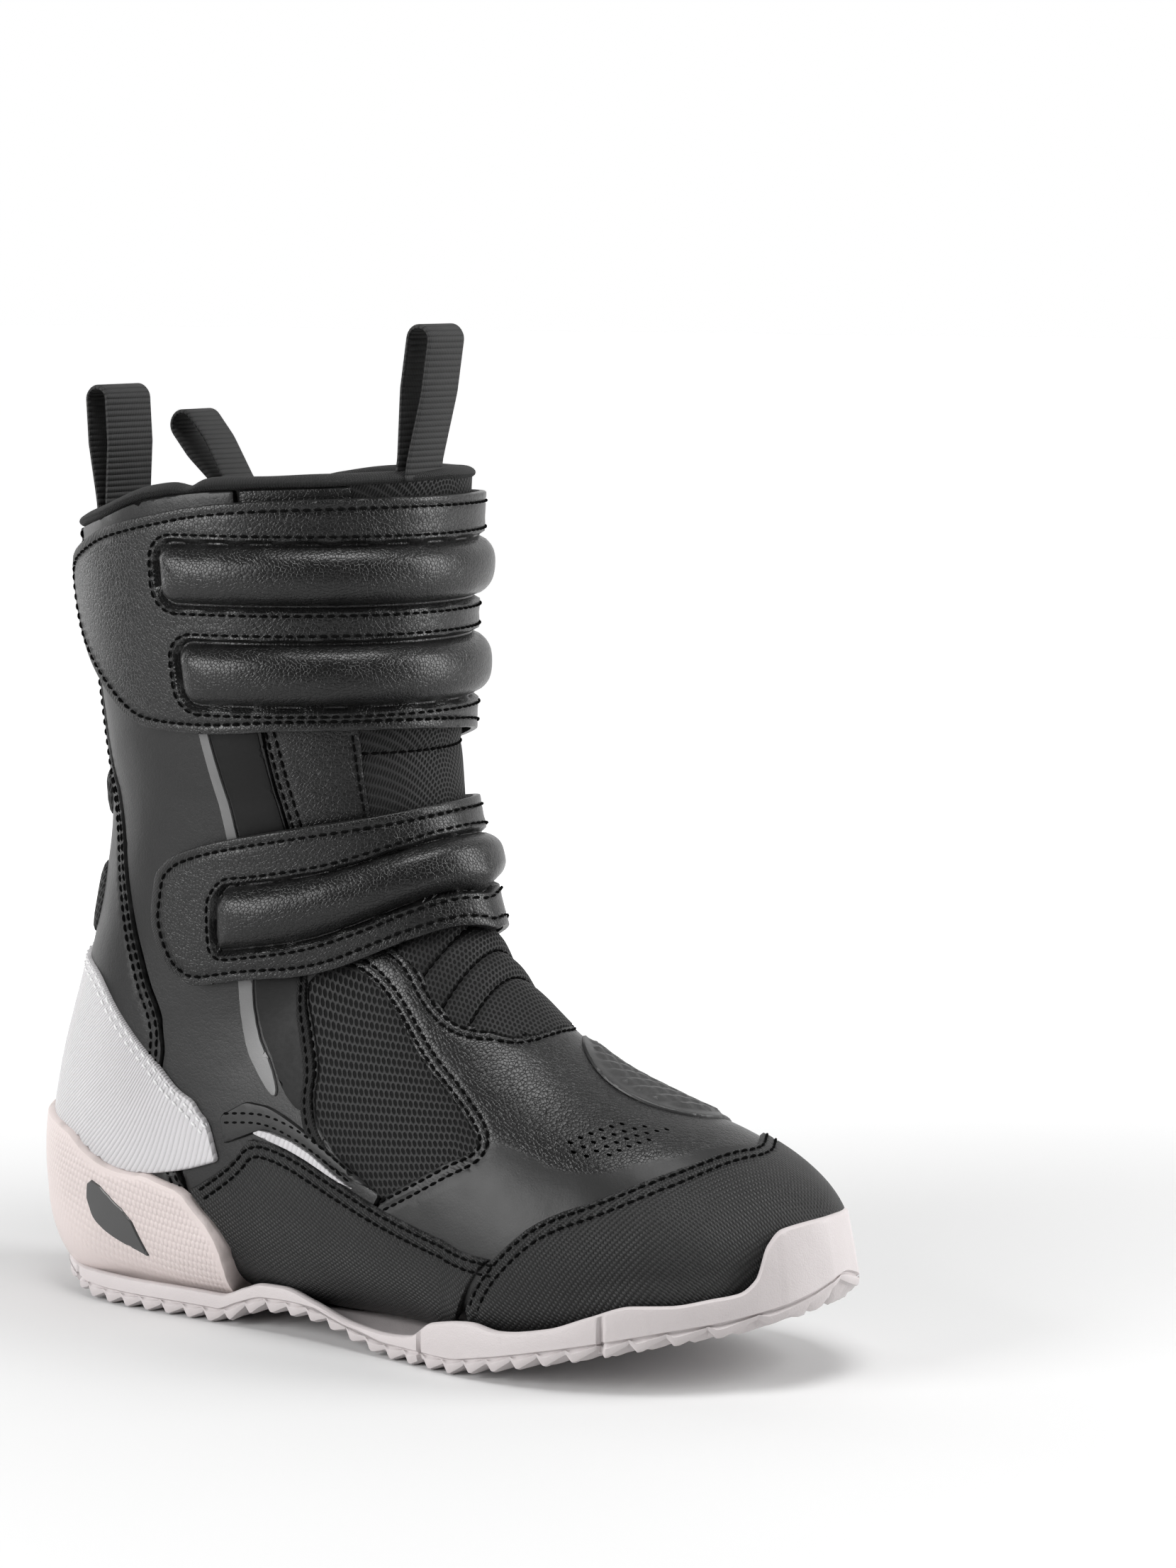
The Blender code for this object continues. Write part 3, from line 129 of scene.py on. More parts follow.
VAMP_SIDE = [(0.955, -0.34), (0.90, -0.31), (0.765, -0.32), (0.69, -0.31), (0.60, -0.25),
             (0.53, -0.19), (0.48, -0.12), (0.43, -0.03), (0.42, 0.1), (0.46, 0.2), (0.60, 0.30),
             (0.75, 0.36), (1.0, 0.36), (1.20, 0.30), (1.33, 0.24), (1.6, 0.3), (1.6, 1.0), (0.0, 1.0),
             (0.0, -1.0), (1.3, -1.0), (1.2, -0.5)]
CAP_SEAM = [(0.955, -0.69), (0.92, -0.60), (0.86, -0.51), (0.79, -0.435), (0.66, -0.365),
            (0.565, -0.295), (0.49, -0.215), (0.43, -0.09), (0.40, 0), (0.45, 0.10), (0.52, 0.22),
            (0.60, 0.32), (0.70, 0.41), (0.78, 0.50), (0.82, 0.60), (0.85, 0.665)]
CAP_BUMPER = [(0.25, 0.60), (0.21, 0.555), (0.19, 0.48), (0.18, 0.36), (0.12, 0.28), (0.09, 0.1),
              (0.09, -0.1), (0.12, -0.28), (0.18, -0.36), (0.19, -0.50), (0.21, -0.575),
              (0.25, -0.62)]
RAND_TOP_OUTER = [(1.425, -0.655), (1.405, -0.60), (1.40, -0.545), (1.34, -0.539), (1.22, -0.553),
                  (1.11, -0.564), (0.98, -0.567), (0.885, -0.545)]
RAND_TOP_INNER = [(1.425, 0.67), (1.36, 0.62), (1.2, 0.585), (0.98, 0.56), (0.81, 0.53)]
COUNTER_FRONT = [(1.435, 0.675), (1.41, 0.697), (1.37, 0.728), (1.34, 0.769), (1.33, 0.822)]
COUNTER_TOP = [(1.49, 0.667), (1.53, 0.703), (1.57, 0.739), (1.60, 0.775), (1.64, 0.88), (1.65, 1.0)]
HEEL_PANEL_FRONT = [(1.45, 0.64), (1.42, 0.606), (1.47, 0.542), (1.51, 0.522), (1.58, 0.550),
                    (1.64, 0.611), (1.72, 0.711), (1.76, 0.78), (1.79, 0.9), (1.80, 1.0)]

# ---------------------------------------------------------------- sole, plan outline and heights
SOLE_OUTER = [(-148, 0), (-143, -20), (-128, -34), (-105, -40.5), (-70, -42), (-30, -44.5), (10, -50),
              (45, -56.5), (70, -57), (95, -52), (118, -42), (136, -28), (149, -12), (154.5, 6)]
SOLE_INNER = [(154.5, 6), (150, 22), (137, 37), (118, 47), (95, 51), (70, 51), (45, 47), (10, 40),
              (-30, 36.5), (-70, 38), (-105, 39.5), (-128, 34), (-143, 20), (-148, 0)]
# Heights against x: the tread's lowest line, the rim's top and the plate inside the cup.
TREAD_Z = [(-150, 10), (-148, 9), (-135, 4), (-120, 0.5), (-110, 0), (-62, 0), (-52, 3.5), (-42, 6.5),
           (-30, 7), (-18, 6.5), (-8, 4.5), (4, 1.6), (14, 0), (40, 0), (55, 2.4), (70, 5.6),
           (90, 10), (114, 15.5), (135, 20), (150, 26), (155, 32)]
RIM_Z = [(-150, 17), (-143, 13), (-125, 10.5), (-60, 10.5), (-50, 14), (-42, 16.5), (-33, 16.8),
         (-19, 13.8), (-3, 9.8), (12, 8.6), (24, 9.8), (34, 15.8), (51, 18.5), (61, 17.2), (79, 19.8),
         (93, 24.8), (106, 29), (118, 29.5), (128, 31.5), (135, 33), (139, 37), (142, 47),
         (146, 52), (155, 54)]
PLATE_Z = [(-150, 14), (-143, 9.4), (-130, 8.6), (-60, 8.6), (-40, 9.4), (10, 8.0), (24, 8.4),
           (64, 8.8), (102, 15.8), (128, 22.2), (143, 29.5), (155, 40)]
RIM_WIDTH = 3.2
LASTING_TURN = 0.86

# ---------------------------------------------------------------- lining and collar
BELOW_COLLAR = 0.014
COLLAR_NOTCH = -0.47
# Half the roll's height in stations, and half its width; then the depth of its middle.
COLLAR_ROLL = (0.019, 3.9)
COLLAR_DEPTH = -2.9
BASE_DEPTH = -1.7
LINING_DEPTH = -7.6
BASE_THICK = 0.8

# ---------------------------------------------------------------- small trim, outlines in (v, u)
SIDE_STRIP = [(1.465, -0.525), (1.445, -0.485), (1.40, -0.478), (1.315, -0.495), (1.14, -0.538),
              (1.20, -0.541), (1.31, -0.522), (1.385, -0.523), (1.43, -0.575)]
SHIFT_PAD_LINE = [(0.88, 0.0), (0.80, -0.05), (0.70, -0.06), (0.60, -0.02), (0.56, 0.06),
                  (0.60, 0.22), (0.68, 0.37), (1.02, 0.43), (1.06, 0.38), (0.97, 0.18), (0.92, 0.06)]
REFLECTIVE_LINE = [(2.35, -0.505), (2.17, -0.487), (2.0, -0.472), (1.91, -0.456), (1.75, -0.415),
                   (1.61, -0.385), (1.52, -0.395), (1.41, -0.47), (1.40, -0.45), (1.50, -0.372),
                   (1.61, -0.352), (1.75, -0.385), (1.91, -0.430), (2.0, -0.445), (2.17, -0.463),
                   (2.35, -0.48)]
SIDE_SLIVER = [(1.415, -0.533), (1.395, -0.522), (1.31, -0.522), (1.22, -0.545), (1.18, -0.553),
               (1.22, -0.556), (1.31, -0.543), (1.39, -0.54)]
SIDE_BAND = [(2.3, -0.478), (2.17, -0.462), (2.0, -0.444), (1.91, -0.429), (1.75, -0.384),
             (1.61, -0.351), (1.50, -0.371), (1.41, -0.444), (1.365, -0.468), (1.325, -0.47),
             (1.35, -0.42), (1.37, -0.39), (1.45, -0.325), (1.52, -0.275), (1.7, -0.275),
             (1.93, -0.34), (2.2, -0.365), (2.3, -0.37)]
MESH_BINDING = [(1.2, -0.527), (1.235, -0.52), (1.30, -0.487), (1.345, -0.435), (1.37, -0.387),
                (1.45, -0.322), (1.52, -0.272), (1.6, -0.245), (1.6, -0.265), (1.52, -0.295),
                (1.46, -0.34), (1.385, -0.405), (1.36, -0.455), (1.315, -0.507), (1.24, -0.54)]
BINDING_SEAM = [(1.225, -0.532), (1.31, -0.497), (1.353, -0.445), (1.378, -0.396), (1.455, -0.331),
                (1.52, -0.284), (1.59, -0.258)]
STRIP_SEAM = [(1.45, -0.525), (1.40, -0.502), (1.31, -0.509), (1.2, -0.532)]
# Middle station of each mesh inset on the back's flanks; half its height, middle turn and half width.
FLEX_STATIONS = (2.0, 1.845)
FLEX_SIZE = (0.05, 0.85, 0.035)
BADGE_LINE = [(1.54, -0.745), (1.515, -0.73), (1.475, -0.745), (1.43, -0.81), (1.465, -0.80),
              (1.52, -0.78)]

# ---------------------------------------------------------------- straps, outlines in (v, u)
# Where a strap folds: its turn, its rise over the strap and half its length.
HINGE_TURN = 0.2
FOLD_RISE = 0.2
FOLD_REACH = 3.0
UPPER_STRAP = [(2.17, 0.19), (2.20, 0.072), (2.22, -0.1), (2.225, -0.311), (2.205, -0.442),
               (2.21, -0.589), (2.24, -0.64), (2.31, -0.694), (2.42, -0.765), (2.53, -0.812),
               (2.64, -0.812), (2.71, -0.78), (2.76, -0.711), (2.80, -0.653), (2.84, -0.556),
               (2.89, -0.41), (2.905, -0.2), (2.905, 0.0), (2.90, 0.19), (2.885, 0.35), (2.86, 0.45),
               (2.82, 0.51), (2.5, 0.505), (2.22, 0.472), (2.07, 0.435), (2.10, 0.35)]
# A window's corner radius in stations and in turns.
WINDOW_CORNER = (6.0 / 110.0, 6.0 / 190.0)
# Lower and upper station, outer and inner turn.
UPPER_WINDOWS = {"upper_pad_top": (2.585, 2.77, -0.522, 0.49),
                 "upper_pad_low": (2.29, 2.48, -0.497, 0.46)}
UPPER_HOOK = [(2.35, -0.56), (2.38, -0.70), (2.53, -0.77), (2.68, -0.74), (2.76, -0.62),
              (2.76, -0.56)]
UPPER_LOOP_TAPE = [(2.30, -0.53), (2.36, -0.70), (2.53, -0.79), (2.70, -0.76), (2.79, -0.60),
                   (2.80, -0.53)]
LOWER_TOP_EDGE = [(-0.62, 1.90), (-0.533, 1.90), (-0.331, 1.93), (-0.1, 1.96), (0.17, 1.98),
                  (0.35, 1.93), (0.45, 1.88)]
LOWER_BASE_EDGE = [(-0.62, 1.62), (-0.464, 1.64), (-0.336, 1.60), (-0.167, 1.45), (-0.08, 1.33),
                   (0, 1.22), (0.08, 1.28), (0.2, 1.40), (0.31, 1.48), (0.45, 1.56)]
LOWER_STRAP = [(1.40, 0.18), (1.28, 0.08), (1.22, 0.0), (1.33, -0.08), (1.45, -0.167), (1.60, -0.336),
               (1.65, -0.464), (1.67, -0.492), (1.72, -0.547), (1.80, -0.60), (1.87, -0.60),
               (1.89, -0.572), (1.90, -0.533), (1.93, -0.331), (1.96, -0.1), (1.98, 0.17),
               (1.93, 0.34), (1.885, 0.43), (1.7, 0.375), (1.50, 0.33), (1.475, 0.30), (1.41, 0.205)]
LOWER_WINDOW = [(1.735, -0.44), (1.80, -0.45), (1.825, -0.43), (1.80, -0.197), (1.77, 0.0),
                (1.80, 0.125), (1.83, 0.245), (1.815, 0.33), (1.74, 0.35), (1.66, 0.33),
                (1.62, 0.235), (1.56, 0.11), (1.44, 0.0), (1.59, -0.175), (1.67, -0.344),
                (1.70, -0.43)]
LOWER_HOOK = [(1.70, -0.46), (1.74, -0.55), (1.85, -0.57), (1.87, -0.46)]
LOWER_LOOP_TAPE = [(1.68, -0.47), (1.73, -0.575), (1.87, -0.59), (1.885, -0.47)]

# ---------------------------------------------------------------- zip, flap and pull loops
ZIP_TOP = (2.82, 0.61, 0.0)
ZIP_LOW = (1.5, 0.43, -0.1)
TOOTH_PITCH = 1.0
TOOTH_HALF = 0.44
TEETH_HEIGHT = (-0.4, 0.9)
FLAP_ENDS = (1.53, 2.64)
FLAP_FOLD = 2.6
# Share of the way from the front edge to the back one, and the underside's height there.
FLAP_LIFT = [(0.0, 1.0), (0.08, 1.5), (0.16, 4.2), (0.26, 5.6), (0.5, 6.0), (0.75, 5.6), (1.0, 4.4)]
FLAP_FRONT = [(2.64, 0.54), (2.5, 0.53), (2.22, 0.497), (2.0, 0.455), (1.88, 0.425), (1.7, 0.375),
              (1.6, 0.345), (1.53, 0.345)]
FLAP_BACK = [(1.53, 0.50), (1.6, 0.515), (1.7, 0.53), (1.88, 0.585), (2.0, 0.625),
             (2.22, 0.665), (2.5, 0.70), (2.64, 0.705)]
LOOP_DEPTH = -2.8
LOOP_FOOT = 7.0
# Shares of the webbing's width and thickness.
WEBBING_SECTION = [(-0.5, 0.3), (-0.5, 0.7), (-0.46, 1.0), (0.46, 1.0), (0.5, 0.7), (0.5, 0.3),
                   (0.46, 0.0), (-0.46, 0.0)]
# Name, (v, u) of the foot, lean in degrees, and width, height, gap and thickness.
PULL_LOOPS = [
    ("rear_pull_loop", (2.842, 1.0), -3, (24.0, 40.0, 10.0, 1.8)),
    ("front_pull_loop", (3.008, -0.05), 9, (20.0, 44.0, 10.0, 1.6)),
    ("side_pull_loop", (2.89, 0.76), -40, (17.0, 31.0, 11.0, 1.6)),
]

# ---------------------------------------------------------------- fineness of the skins and stitches
CELL = 1.8
EDGE = 0.9
EMBOSS_ROWS = (-1.9, -5.2)
SWELL_SIZE = 26.0
SEAM_HALF = 1.1
SEAM_DEPTH = 0.45
HOLE = 0.75
HOLE_PITCH = 3.4
# Corners that turn by more than this cosine's angle are rounded only this near to their point.
CORNER_COSINE = 0.72
CORNER_REACH = 2.5
STITCH = 2.6
STITCH_RADIUS = 0.46
STITCH_RISE = 0.32
STITCH_SINK = 0.05
STITCH_PITCH = 3.4
TONGUE_CHANNELS = (2.72, 2.5, 2.15, 1.8, 1.5, 1.27, 1.155, 1.06)
RIDGE_PITCH = 6.0
GRAIN = 1.2
# A pad is held this near to its seam, and no point of it moves further than the reach.
SEWN_BAND = 0.8
STUFFING_MASS = 0.3
STUFFING_PRESSURE = 4000.0
STUFFING_FRAMES = 20
STUFFING_REACH = 1.5

# ---------------------------------------------------------------- sole detail
# Points along each side of the outline.
SOLE_COUNT = 600
# How far from the middle the outline starts to be smoothed, and over how many points.
SOLE_EASE_FROM = 132.0
SOLE_EASE = 9.0
SPLITS = (-128.0, 29.0, 97.0)
SPLIT_WIDTH = 0.8
SPLIT_DEPTH = 1.8
TOE_FACET = 0.5
TOE_LEAN = 5.0
LUG_PITCH = 9.2
LUG_DEPTH = 3.2
LUG_SKEW = 0.25

# ---------------------------------------------------------------- studio
CAMERA_TARGET = (0.0412, 0.0271, 0.1826)
# Azimuth, elevation and distance.
CAMERA_VIEW = (32.6, 7.0, 1.444)
LENS = 100
SENSOR = 36
BOOT_MIDDLE = (0.0, 0.0, 0.14)
WORLD_LIGHT = 0.03
BACKDROP = (-0.535, 0.838, 0.1)
# Name, azimuth, elevation, distance, size and power.
SOFTBOXES = [("front_left", -26, 18, 1.3, (0.8, 0.8), 17), ("left", -92, 16, 1.4, (0.4, 0.9), 4),
             ("right", 118, 20, 1.2, (0.5, 1.0), 14), ("top", 60, 72, 1.2, (0.7, 0.5), 10)]


# ================================================================= curves
def knots(table):
    """A smooth function through the table's points that never overshoots them."""
    x, y = np.array(table, float).T
    gap = np.diff(x)
    slope = np.diff(y) / gap
    tangent = np.zeros(len(x))
    tangent[0], tangent[-1] = slope[0], slope[-1]
    for i in range(1, len(x) - 1):
        if slope[i - 1] * slope[i] > 0:
            tangent[i] = 2 * slope[i - 1] * slope[i] / (slope[i - 1] + slope[i])

    def value(at):
        i = np.clip(np.searchsorted(x, at) - 1, 0, len(x) - 2)
        q = np.clip((at - x[i]) / gap[i], 0, 1)
        start = (1 + 2 * q) * (1 - q) ** 2 * y[i] + q * (1 - q) ** 2 * gap[i] * tangent[i]
        end = q * q * (3 - 2 * q) * y[i + 1] + q * q * (q - 1) * gap[i] * tangent[i + 1]
        return start + end

    return value


def lengths_along(line):
    """The distance along the line up to each of its points."""
    return np.r_[0, np.cumsum(np.linalg.norm(np.diff(line, axis=0), axis=1))]


def smooth_line(points, pieces=24):
    """A centripetal Catmull-Rom line through the points."""
    p = np.array(points, float)
    p = np.vstack([2 * p[0] - p[1], p, 2 * p[-1] - p[-2]])
    line = []
    for a, b, c, d in zip(p, p[1:], p[2:], p[3:]):
        ta = 0.0
        tb = ta + np.linalg.norm(b - a) ** 0.5
        tc = tb + np.linalg.norm(c - b) ** 0.5
        td = tc + np.linalg.norm(d - c) ** 0.5
        for t in np.linspace(tb, tc, pieces, endpoint=False):
            ab = (tb - t) / (tb - ta) * a + (t - ta) / (tb - ta) * b
            bc = (tc - t) / (tc - tb) * b + (t - tb) / (tc - tb) * c
            cd = (td - t) / (td - tc) * c + (t - tc) / (td - tc) * d
            abc = (tc - t) / (tc - ta) * ab + (t - ta) / (tc - ta) * bc
            bcd = (td - t) / (td - tb) * bc + (t - tb) / (td - tb) * cd
            line.append((tc - t) / (tc - tb) * abc + (t - tb) / (tc - tb) * bcd)
    line.append(p[-2])
    return np.array(line)


# ================================================================= the upper's surface
class Surface:
    """The lasted upper as a table of points and normals over (v, u)."""

    def __init__(self):
        front = smooth_line(FRONT_PROFILE)
        back = smooth_line(BACK_PROFILE)
        widths = [(knots(FOOT_OUTER), knots(FOOT_INNER)), (knots(ANKLE_OUTER), knots(ANKLE_INNER)),
                  (knots(SHAFT_HALF), knots(SHAFT_HALF))]
        middle, widest = knots(MIDDLE_Y), knots(WIDEST_AT)
        front_power, back_power = knots(FRONT_POWER), knots(BACK_POWER)
        self.points = np.zeros((STATIONS, 2 * ROUND - 1, 3))
        angle = np.linspace(0, math.pi, 240)
        cos, sin = np.abs(np.cos(angle)), np.abs(np.sin(angle))
        fore = angle < math.pi / 2
        for i, v in enumerate(np.linspace(0, 3, STATIONS)):
            start, along, key, part = self.section_line(v)
            near = min(s for s in crossings(front, start, along) if s > -60)
            far = max(crossings(back, start, along))
            a, b = front_power(v), back_power(v)
            t = np.where(fore, widest(v) * (1 - cos ** (2 / a)),
                         widest(v) + (1 - widest(v)) * cos ** (2 / b))
            out = np.where(fore, sin ** (2 / a), sin ** (2 / b))
            side = start + (near + (far - near) * t)[:, None] * along
            y_mid = middle(side[:, 0].mean()) if v <= 1 else 0.0
            for sign, width in zip((-1, 1), widths[part]):
                curve = np.stack([side[:, 0], y_mid + sign * width(key) * out, side[:, 1]], 1)
                run = lengths_along(curve)
                even = np.linspace(0, run[-1], ROUND)
                row = np.stack([np.interp(even, run, curve[:, k]) for k in range(3)], 1)
                if sign < 0:
                    self.points[i, ROUND - 1::-1] = row
                else:
                    self.points[i, ROUND - 1:] = row
        across = np.gradient(self.points, axis=1)
        normal = np.cross(np.gradient(self.points, axis=0), across)
        centre = self.points.mean(axis=1, keepdims=True)
        if np.median(((self.points - centre) * normal).sum(axis=2)) < 0:
            normal = -normal
        seam = normal[:, 0] + normal[:, -1]
        normal[:, 0] = seam
        normal[:, -1] = seam
        self.normals = normal / (np.linalg.norm(normal, axis=2, keepdims=True) + 1e-12)
        step = np.linalg.norm(np.diff(self.points, axis=1), axis=2)
        girth = np.concatenate([np.zeros((STATIONS, 1)), np.cumsum(step, axis=1)], axis=1)
        self.girth = girth[:, -1]
        climb = np.linalg.norm(np.diff(self.points, axis=0), axis=2)
        reach = np.concatenate([np.zeros((1, 2 * ROUND - 1)), np.cumsum(climb, axis=0)], axis=0)
        self.lengths = np.stack([girth - girth[:, ROUND - 1:ROUND], reach], axis=2)

    @staticmethod
    def section_line(v):
        """Start, direction, width key and width part of the section at station v, in the side view."""
        if v <= 1:
            x = TOE_X - (TOE_X - PIVOT_X) * (0.35 * v + 0.65 * v * v)
            return np.array([x, PIVOT_Z]), np.array([0.0, -1.0]), x, 0
        if v <= 2:
            turn = math.radians((v - 1) * 90)
            down = np.array([-math.sin(turn), -math.cos(turn)])
            return np.array([PIVOT_X, PIVOT_Z]), down, (v - 1) * 90, 1
        z = PIVOT_Z + (COLLAR_Z - PIVOT_Z) * (v - 2)
        return np.array([PIVOT_X, z]), np.array([-1.0, 0.0]), z, 2

    @staticmethod
    def between(v, u, *tables):
        """Each table's values at stations v and turns u, read between its points."""
        u = (u + 1) % 2 - 1
        row = np.clip(v / 3 * (STATIONS - 1), 0, STATIONS - 1.0001)
        column = np.clip((u + 1) / 2 * (2 * ROUND - 2), 0, 2 * ROUND - 2.0001)
        i, j = row.astype(int), column.astype(int)
        a, b = (row - i)[..., None], (column - j)[..., None]
        values = []
        for table in tables:
            low = table[i, j] * (1 - b) + table[i, j + 1] * b
            high = table[i + 1, j] * (1 - b) + table[i + 1, j + 1] * b
            values.append(low * (1 - a) + high * a)
        return values

    def at(self, v, u, height=0.0):
        """Points at stations v, turns u and heights over the surface."""
        v, u = np.broadcast_arrays(np.asarray(v, float), np.asarray(u, float))
        normal, point = self.between(v, u, self.normals, self.points)
        normal = normal / (np.linalg.norm(normal, axis=-1, keepdims=True) + 1e-12)
        return point + np.asarray(height, float)[..., None] * normal

    def spread(self, v, u):
        """Distances round the section from its middle line, and along the upper from the toe."""
        flat = self.between(v, u, self.lengths)[0]
        row = np.clip(v / 3 * (STATIONS - 1), 0, STATIONS - 1.0001).astype(int)
        flat[:, 0] -= self.girth[row] * (u < -1)
        return flat


def crossings(line, start, along):
    """Distances from start at which the ray along meets the line."""
    side = (line - start) @ np.array([-along[1], along[0]])
    meets = []
    for i in np.nonzero(side[:-1] * side[1:] <= 0)[0]:
        if side[i] != side[i + 1]:
            point = line[i] + side[i] / (side[i] - side[i + 1]) * (line[i + 1] - line[i])
            meets.append((point - start) @ along)
    return meets


def sample_edges(outline, step, plane=PLANE):
    """The closed outline's points with each edge cut into steps, spread flat by the plane's scales."""
    flat = np.array(outline) * plane
    points = []
    for a, b in zip(flat, np.roll(flat, -1, axis=0)):
        length = np.linalg.norm(b - a)
        if length > WELD:
            count = max(1, int(round(length / step)))
            points += [a + (b - a) * k / count for k in range(count)]
    return np.array(points)


def inset(loop, gap):
    """The closed loop moved inwards by gap."""
    area = 0.5 * np.sum(loop[:, 0] * np.roll(loop[:, 1], -1) - np.roll(loop[:, 0], -1) * loop[:, 1])
    turn = 1.0 if area > 0 else -1.0
    edge = np.roll(loop, -1, axis=0) - loop
    edge = edge / np.linalg.norm(edge, axis=1, keepdims=True)
    side = turn * np.stack([-edge[:, 1], edge[:, 0]], 1)
    both = side + np.roll(side, 1, axis=0)
    stretch = np.maximum((both * both).sum(axis=1, keepdims=True) / 2, 0.6)
    return loop + gap * both / stretch


def inside(points, loop):
    """Whether each point lies inside the closed loop."""
    ahead = np.roll(loop, -1, axis=0)
    x, y = points[:, :1], points[:, 1:]
    spans = (loop[:, 1] > y) != (ahead[:, 1] > y)
    rise = np.where(ahead[:, 1] == loop[:, 1], 1e-9, ahead[:, 1] - loop[:, 1])
    cross = loop[:, 0] + (y - loop[:, 1]) / rise * (ahead[:, 0] - loop[:, 0])
    return (spans & (x < cross)).sum(axis=1) % 2 == 1


def lattice(loop, cell):
    """A triangular lattice of points inside the loop and clear of it."""
    low, high = loop.min(axis=0), loop.max(axis=0)
    rows = np.arange(low[1] + cell / 2, high[1], cell * 0.866)
    points = []
    for k, y in enumerate(rows):
        start = low[0] + cell * (0.25 + 0.5 * (k % 2))
        points += [(x, y) for x in np.arange(start, high[0], cell)]
    points = np.array(points).reshape(-1, 2)
    points = points[inside(points, loop)]
    near = np.linalg.norm(points[:, None] - loop[None], axis=2).min(axis=1)
    return points[near > 0.55 * cell]


def flat_triangles(loop, inner_points):
    """Points and triangles that fill the loop."""
    points = [Vector(p) for p in np.vstack([loop, inner_points])]
    made = delaunay_2d_cdt(points, [], [list(range(len(loop)))], 1, 1e-6)
    return np.array([tuple(p) for p in made[0]]), [tuple(f) for f in made[2]]


def border_edges(triangles):
    """The directed edges that only one triangle has."""
    edges = {(t[k], t[(k + 1) % 3]) for t in triangles for k in range(3)}
    return [(a, b) for a, b in edges if (b, a) not in edges]


def stands_for(piece, slot_name, *nodes):
    """The frame's nodes are hidden, for the piece takes their place; slot_name is not used."""
    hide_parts(*nodes)


def mirrored(outline):
    """The outline on the other side of the boot."""
    return [(v, -u) for v, u in outline]


def backwards(outline):
    return list(reversed(outline))


def round_back(outline):
    """The outline listed a full turn on, so that it joins one on the outer side across the back."""
    return [(v, u - 2) for v, u in outline]


def top_line(u_start, u_end, count=7):
    """Points under the collar line from one turn to another."""
    return [(float(COLLAR(abs(abs(u) - 2 * (abs(u) > 1)))) - BELOW_COLLAR, float(u))
            for u in np.linspace(u_start, u_end, count)]


def sole_loop():
    """The sole's plan outline as points evenly spaced along each side."""
    sides = []
    for outline in (SOLE_OUTER, SOLE_INNER):
        line = smooth_line(outline)
        run = lengths_along(line)
        even = np.linspace(0, run[-1], SOLE_COUNT, endpoint=False)
        sides.append(np.stack([np.interp(even, run, line[:, k]) for k in range(2)], 1))
    return np.vstack(sides)


def in_frame(point):
    """A point in millimetres as the frame has it, in metres from the part's middle."""
    return (np.asarray(point, float) - ORIGIN) * MM


def across_instep(v, u, height=0.0):
    """Points of the lower strap, which spans straight from its upper edge to its lower one."""
    high, low = knots(LOWER_TOP_EDGE), knots(LOWER_BASE_EDGE)

    def ruled(turn, share):
        top, base = UPPER.at(high(turn), turn), UPPER.at(low(turn), turn)
        return top + (base - top) * share[:, None]

    share = (high(u) - v) / (high(u) - low(u))
    along = ruled(u + 0.01, share) - ruled(u - 0.01, share)
    normal = np.cross(ruled(u, share + 0.01) - ruled(u, share - 0.01), along)
    normal = normal / np.linalg.norm(normal, axis=1, keepdims=True)
    return ruled(u, share) + np.asarray(height, float)[..., None] * normal


def zip_frame():
    """Top point of the zip, its direction down, its direction across and its outward normal."""
    top, low = UPPER.at(*ZIP_TOP), UPPER.at(*ZIP_LOW)
    down = (low - top) / np.linalg.norm(low - top)
    out = UPPER.at(2.2, 0.57, 1.0) - UPPER.at(2.2, 0.57, 0.0)
    out = out - down * (out @ down)
    out = out / np.linalg.norm(out)
    return top, down, np.cross(out, down), out, np.linalg.norm(low - top)


def foot_of_loop(v, u):
    """A point over the middle of the collar's thickness; stations over 3 go straight up."""
    foot = UPPER.at(min(v, 3.0), u, LOOP_DEPTH)
    return foot + np.array([0.0, 0.0, max(v - 3.0, 0.0) * (COLLAR_Z - PIVOT_Z)])


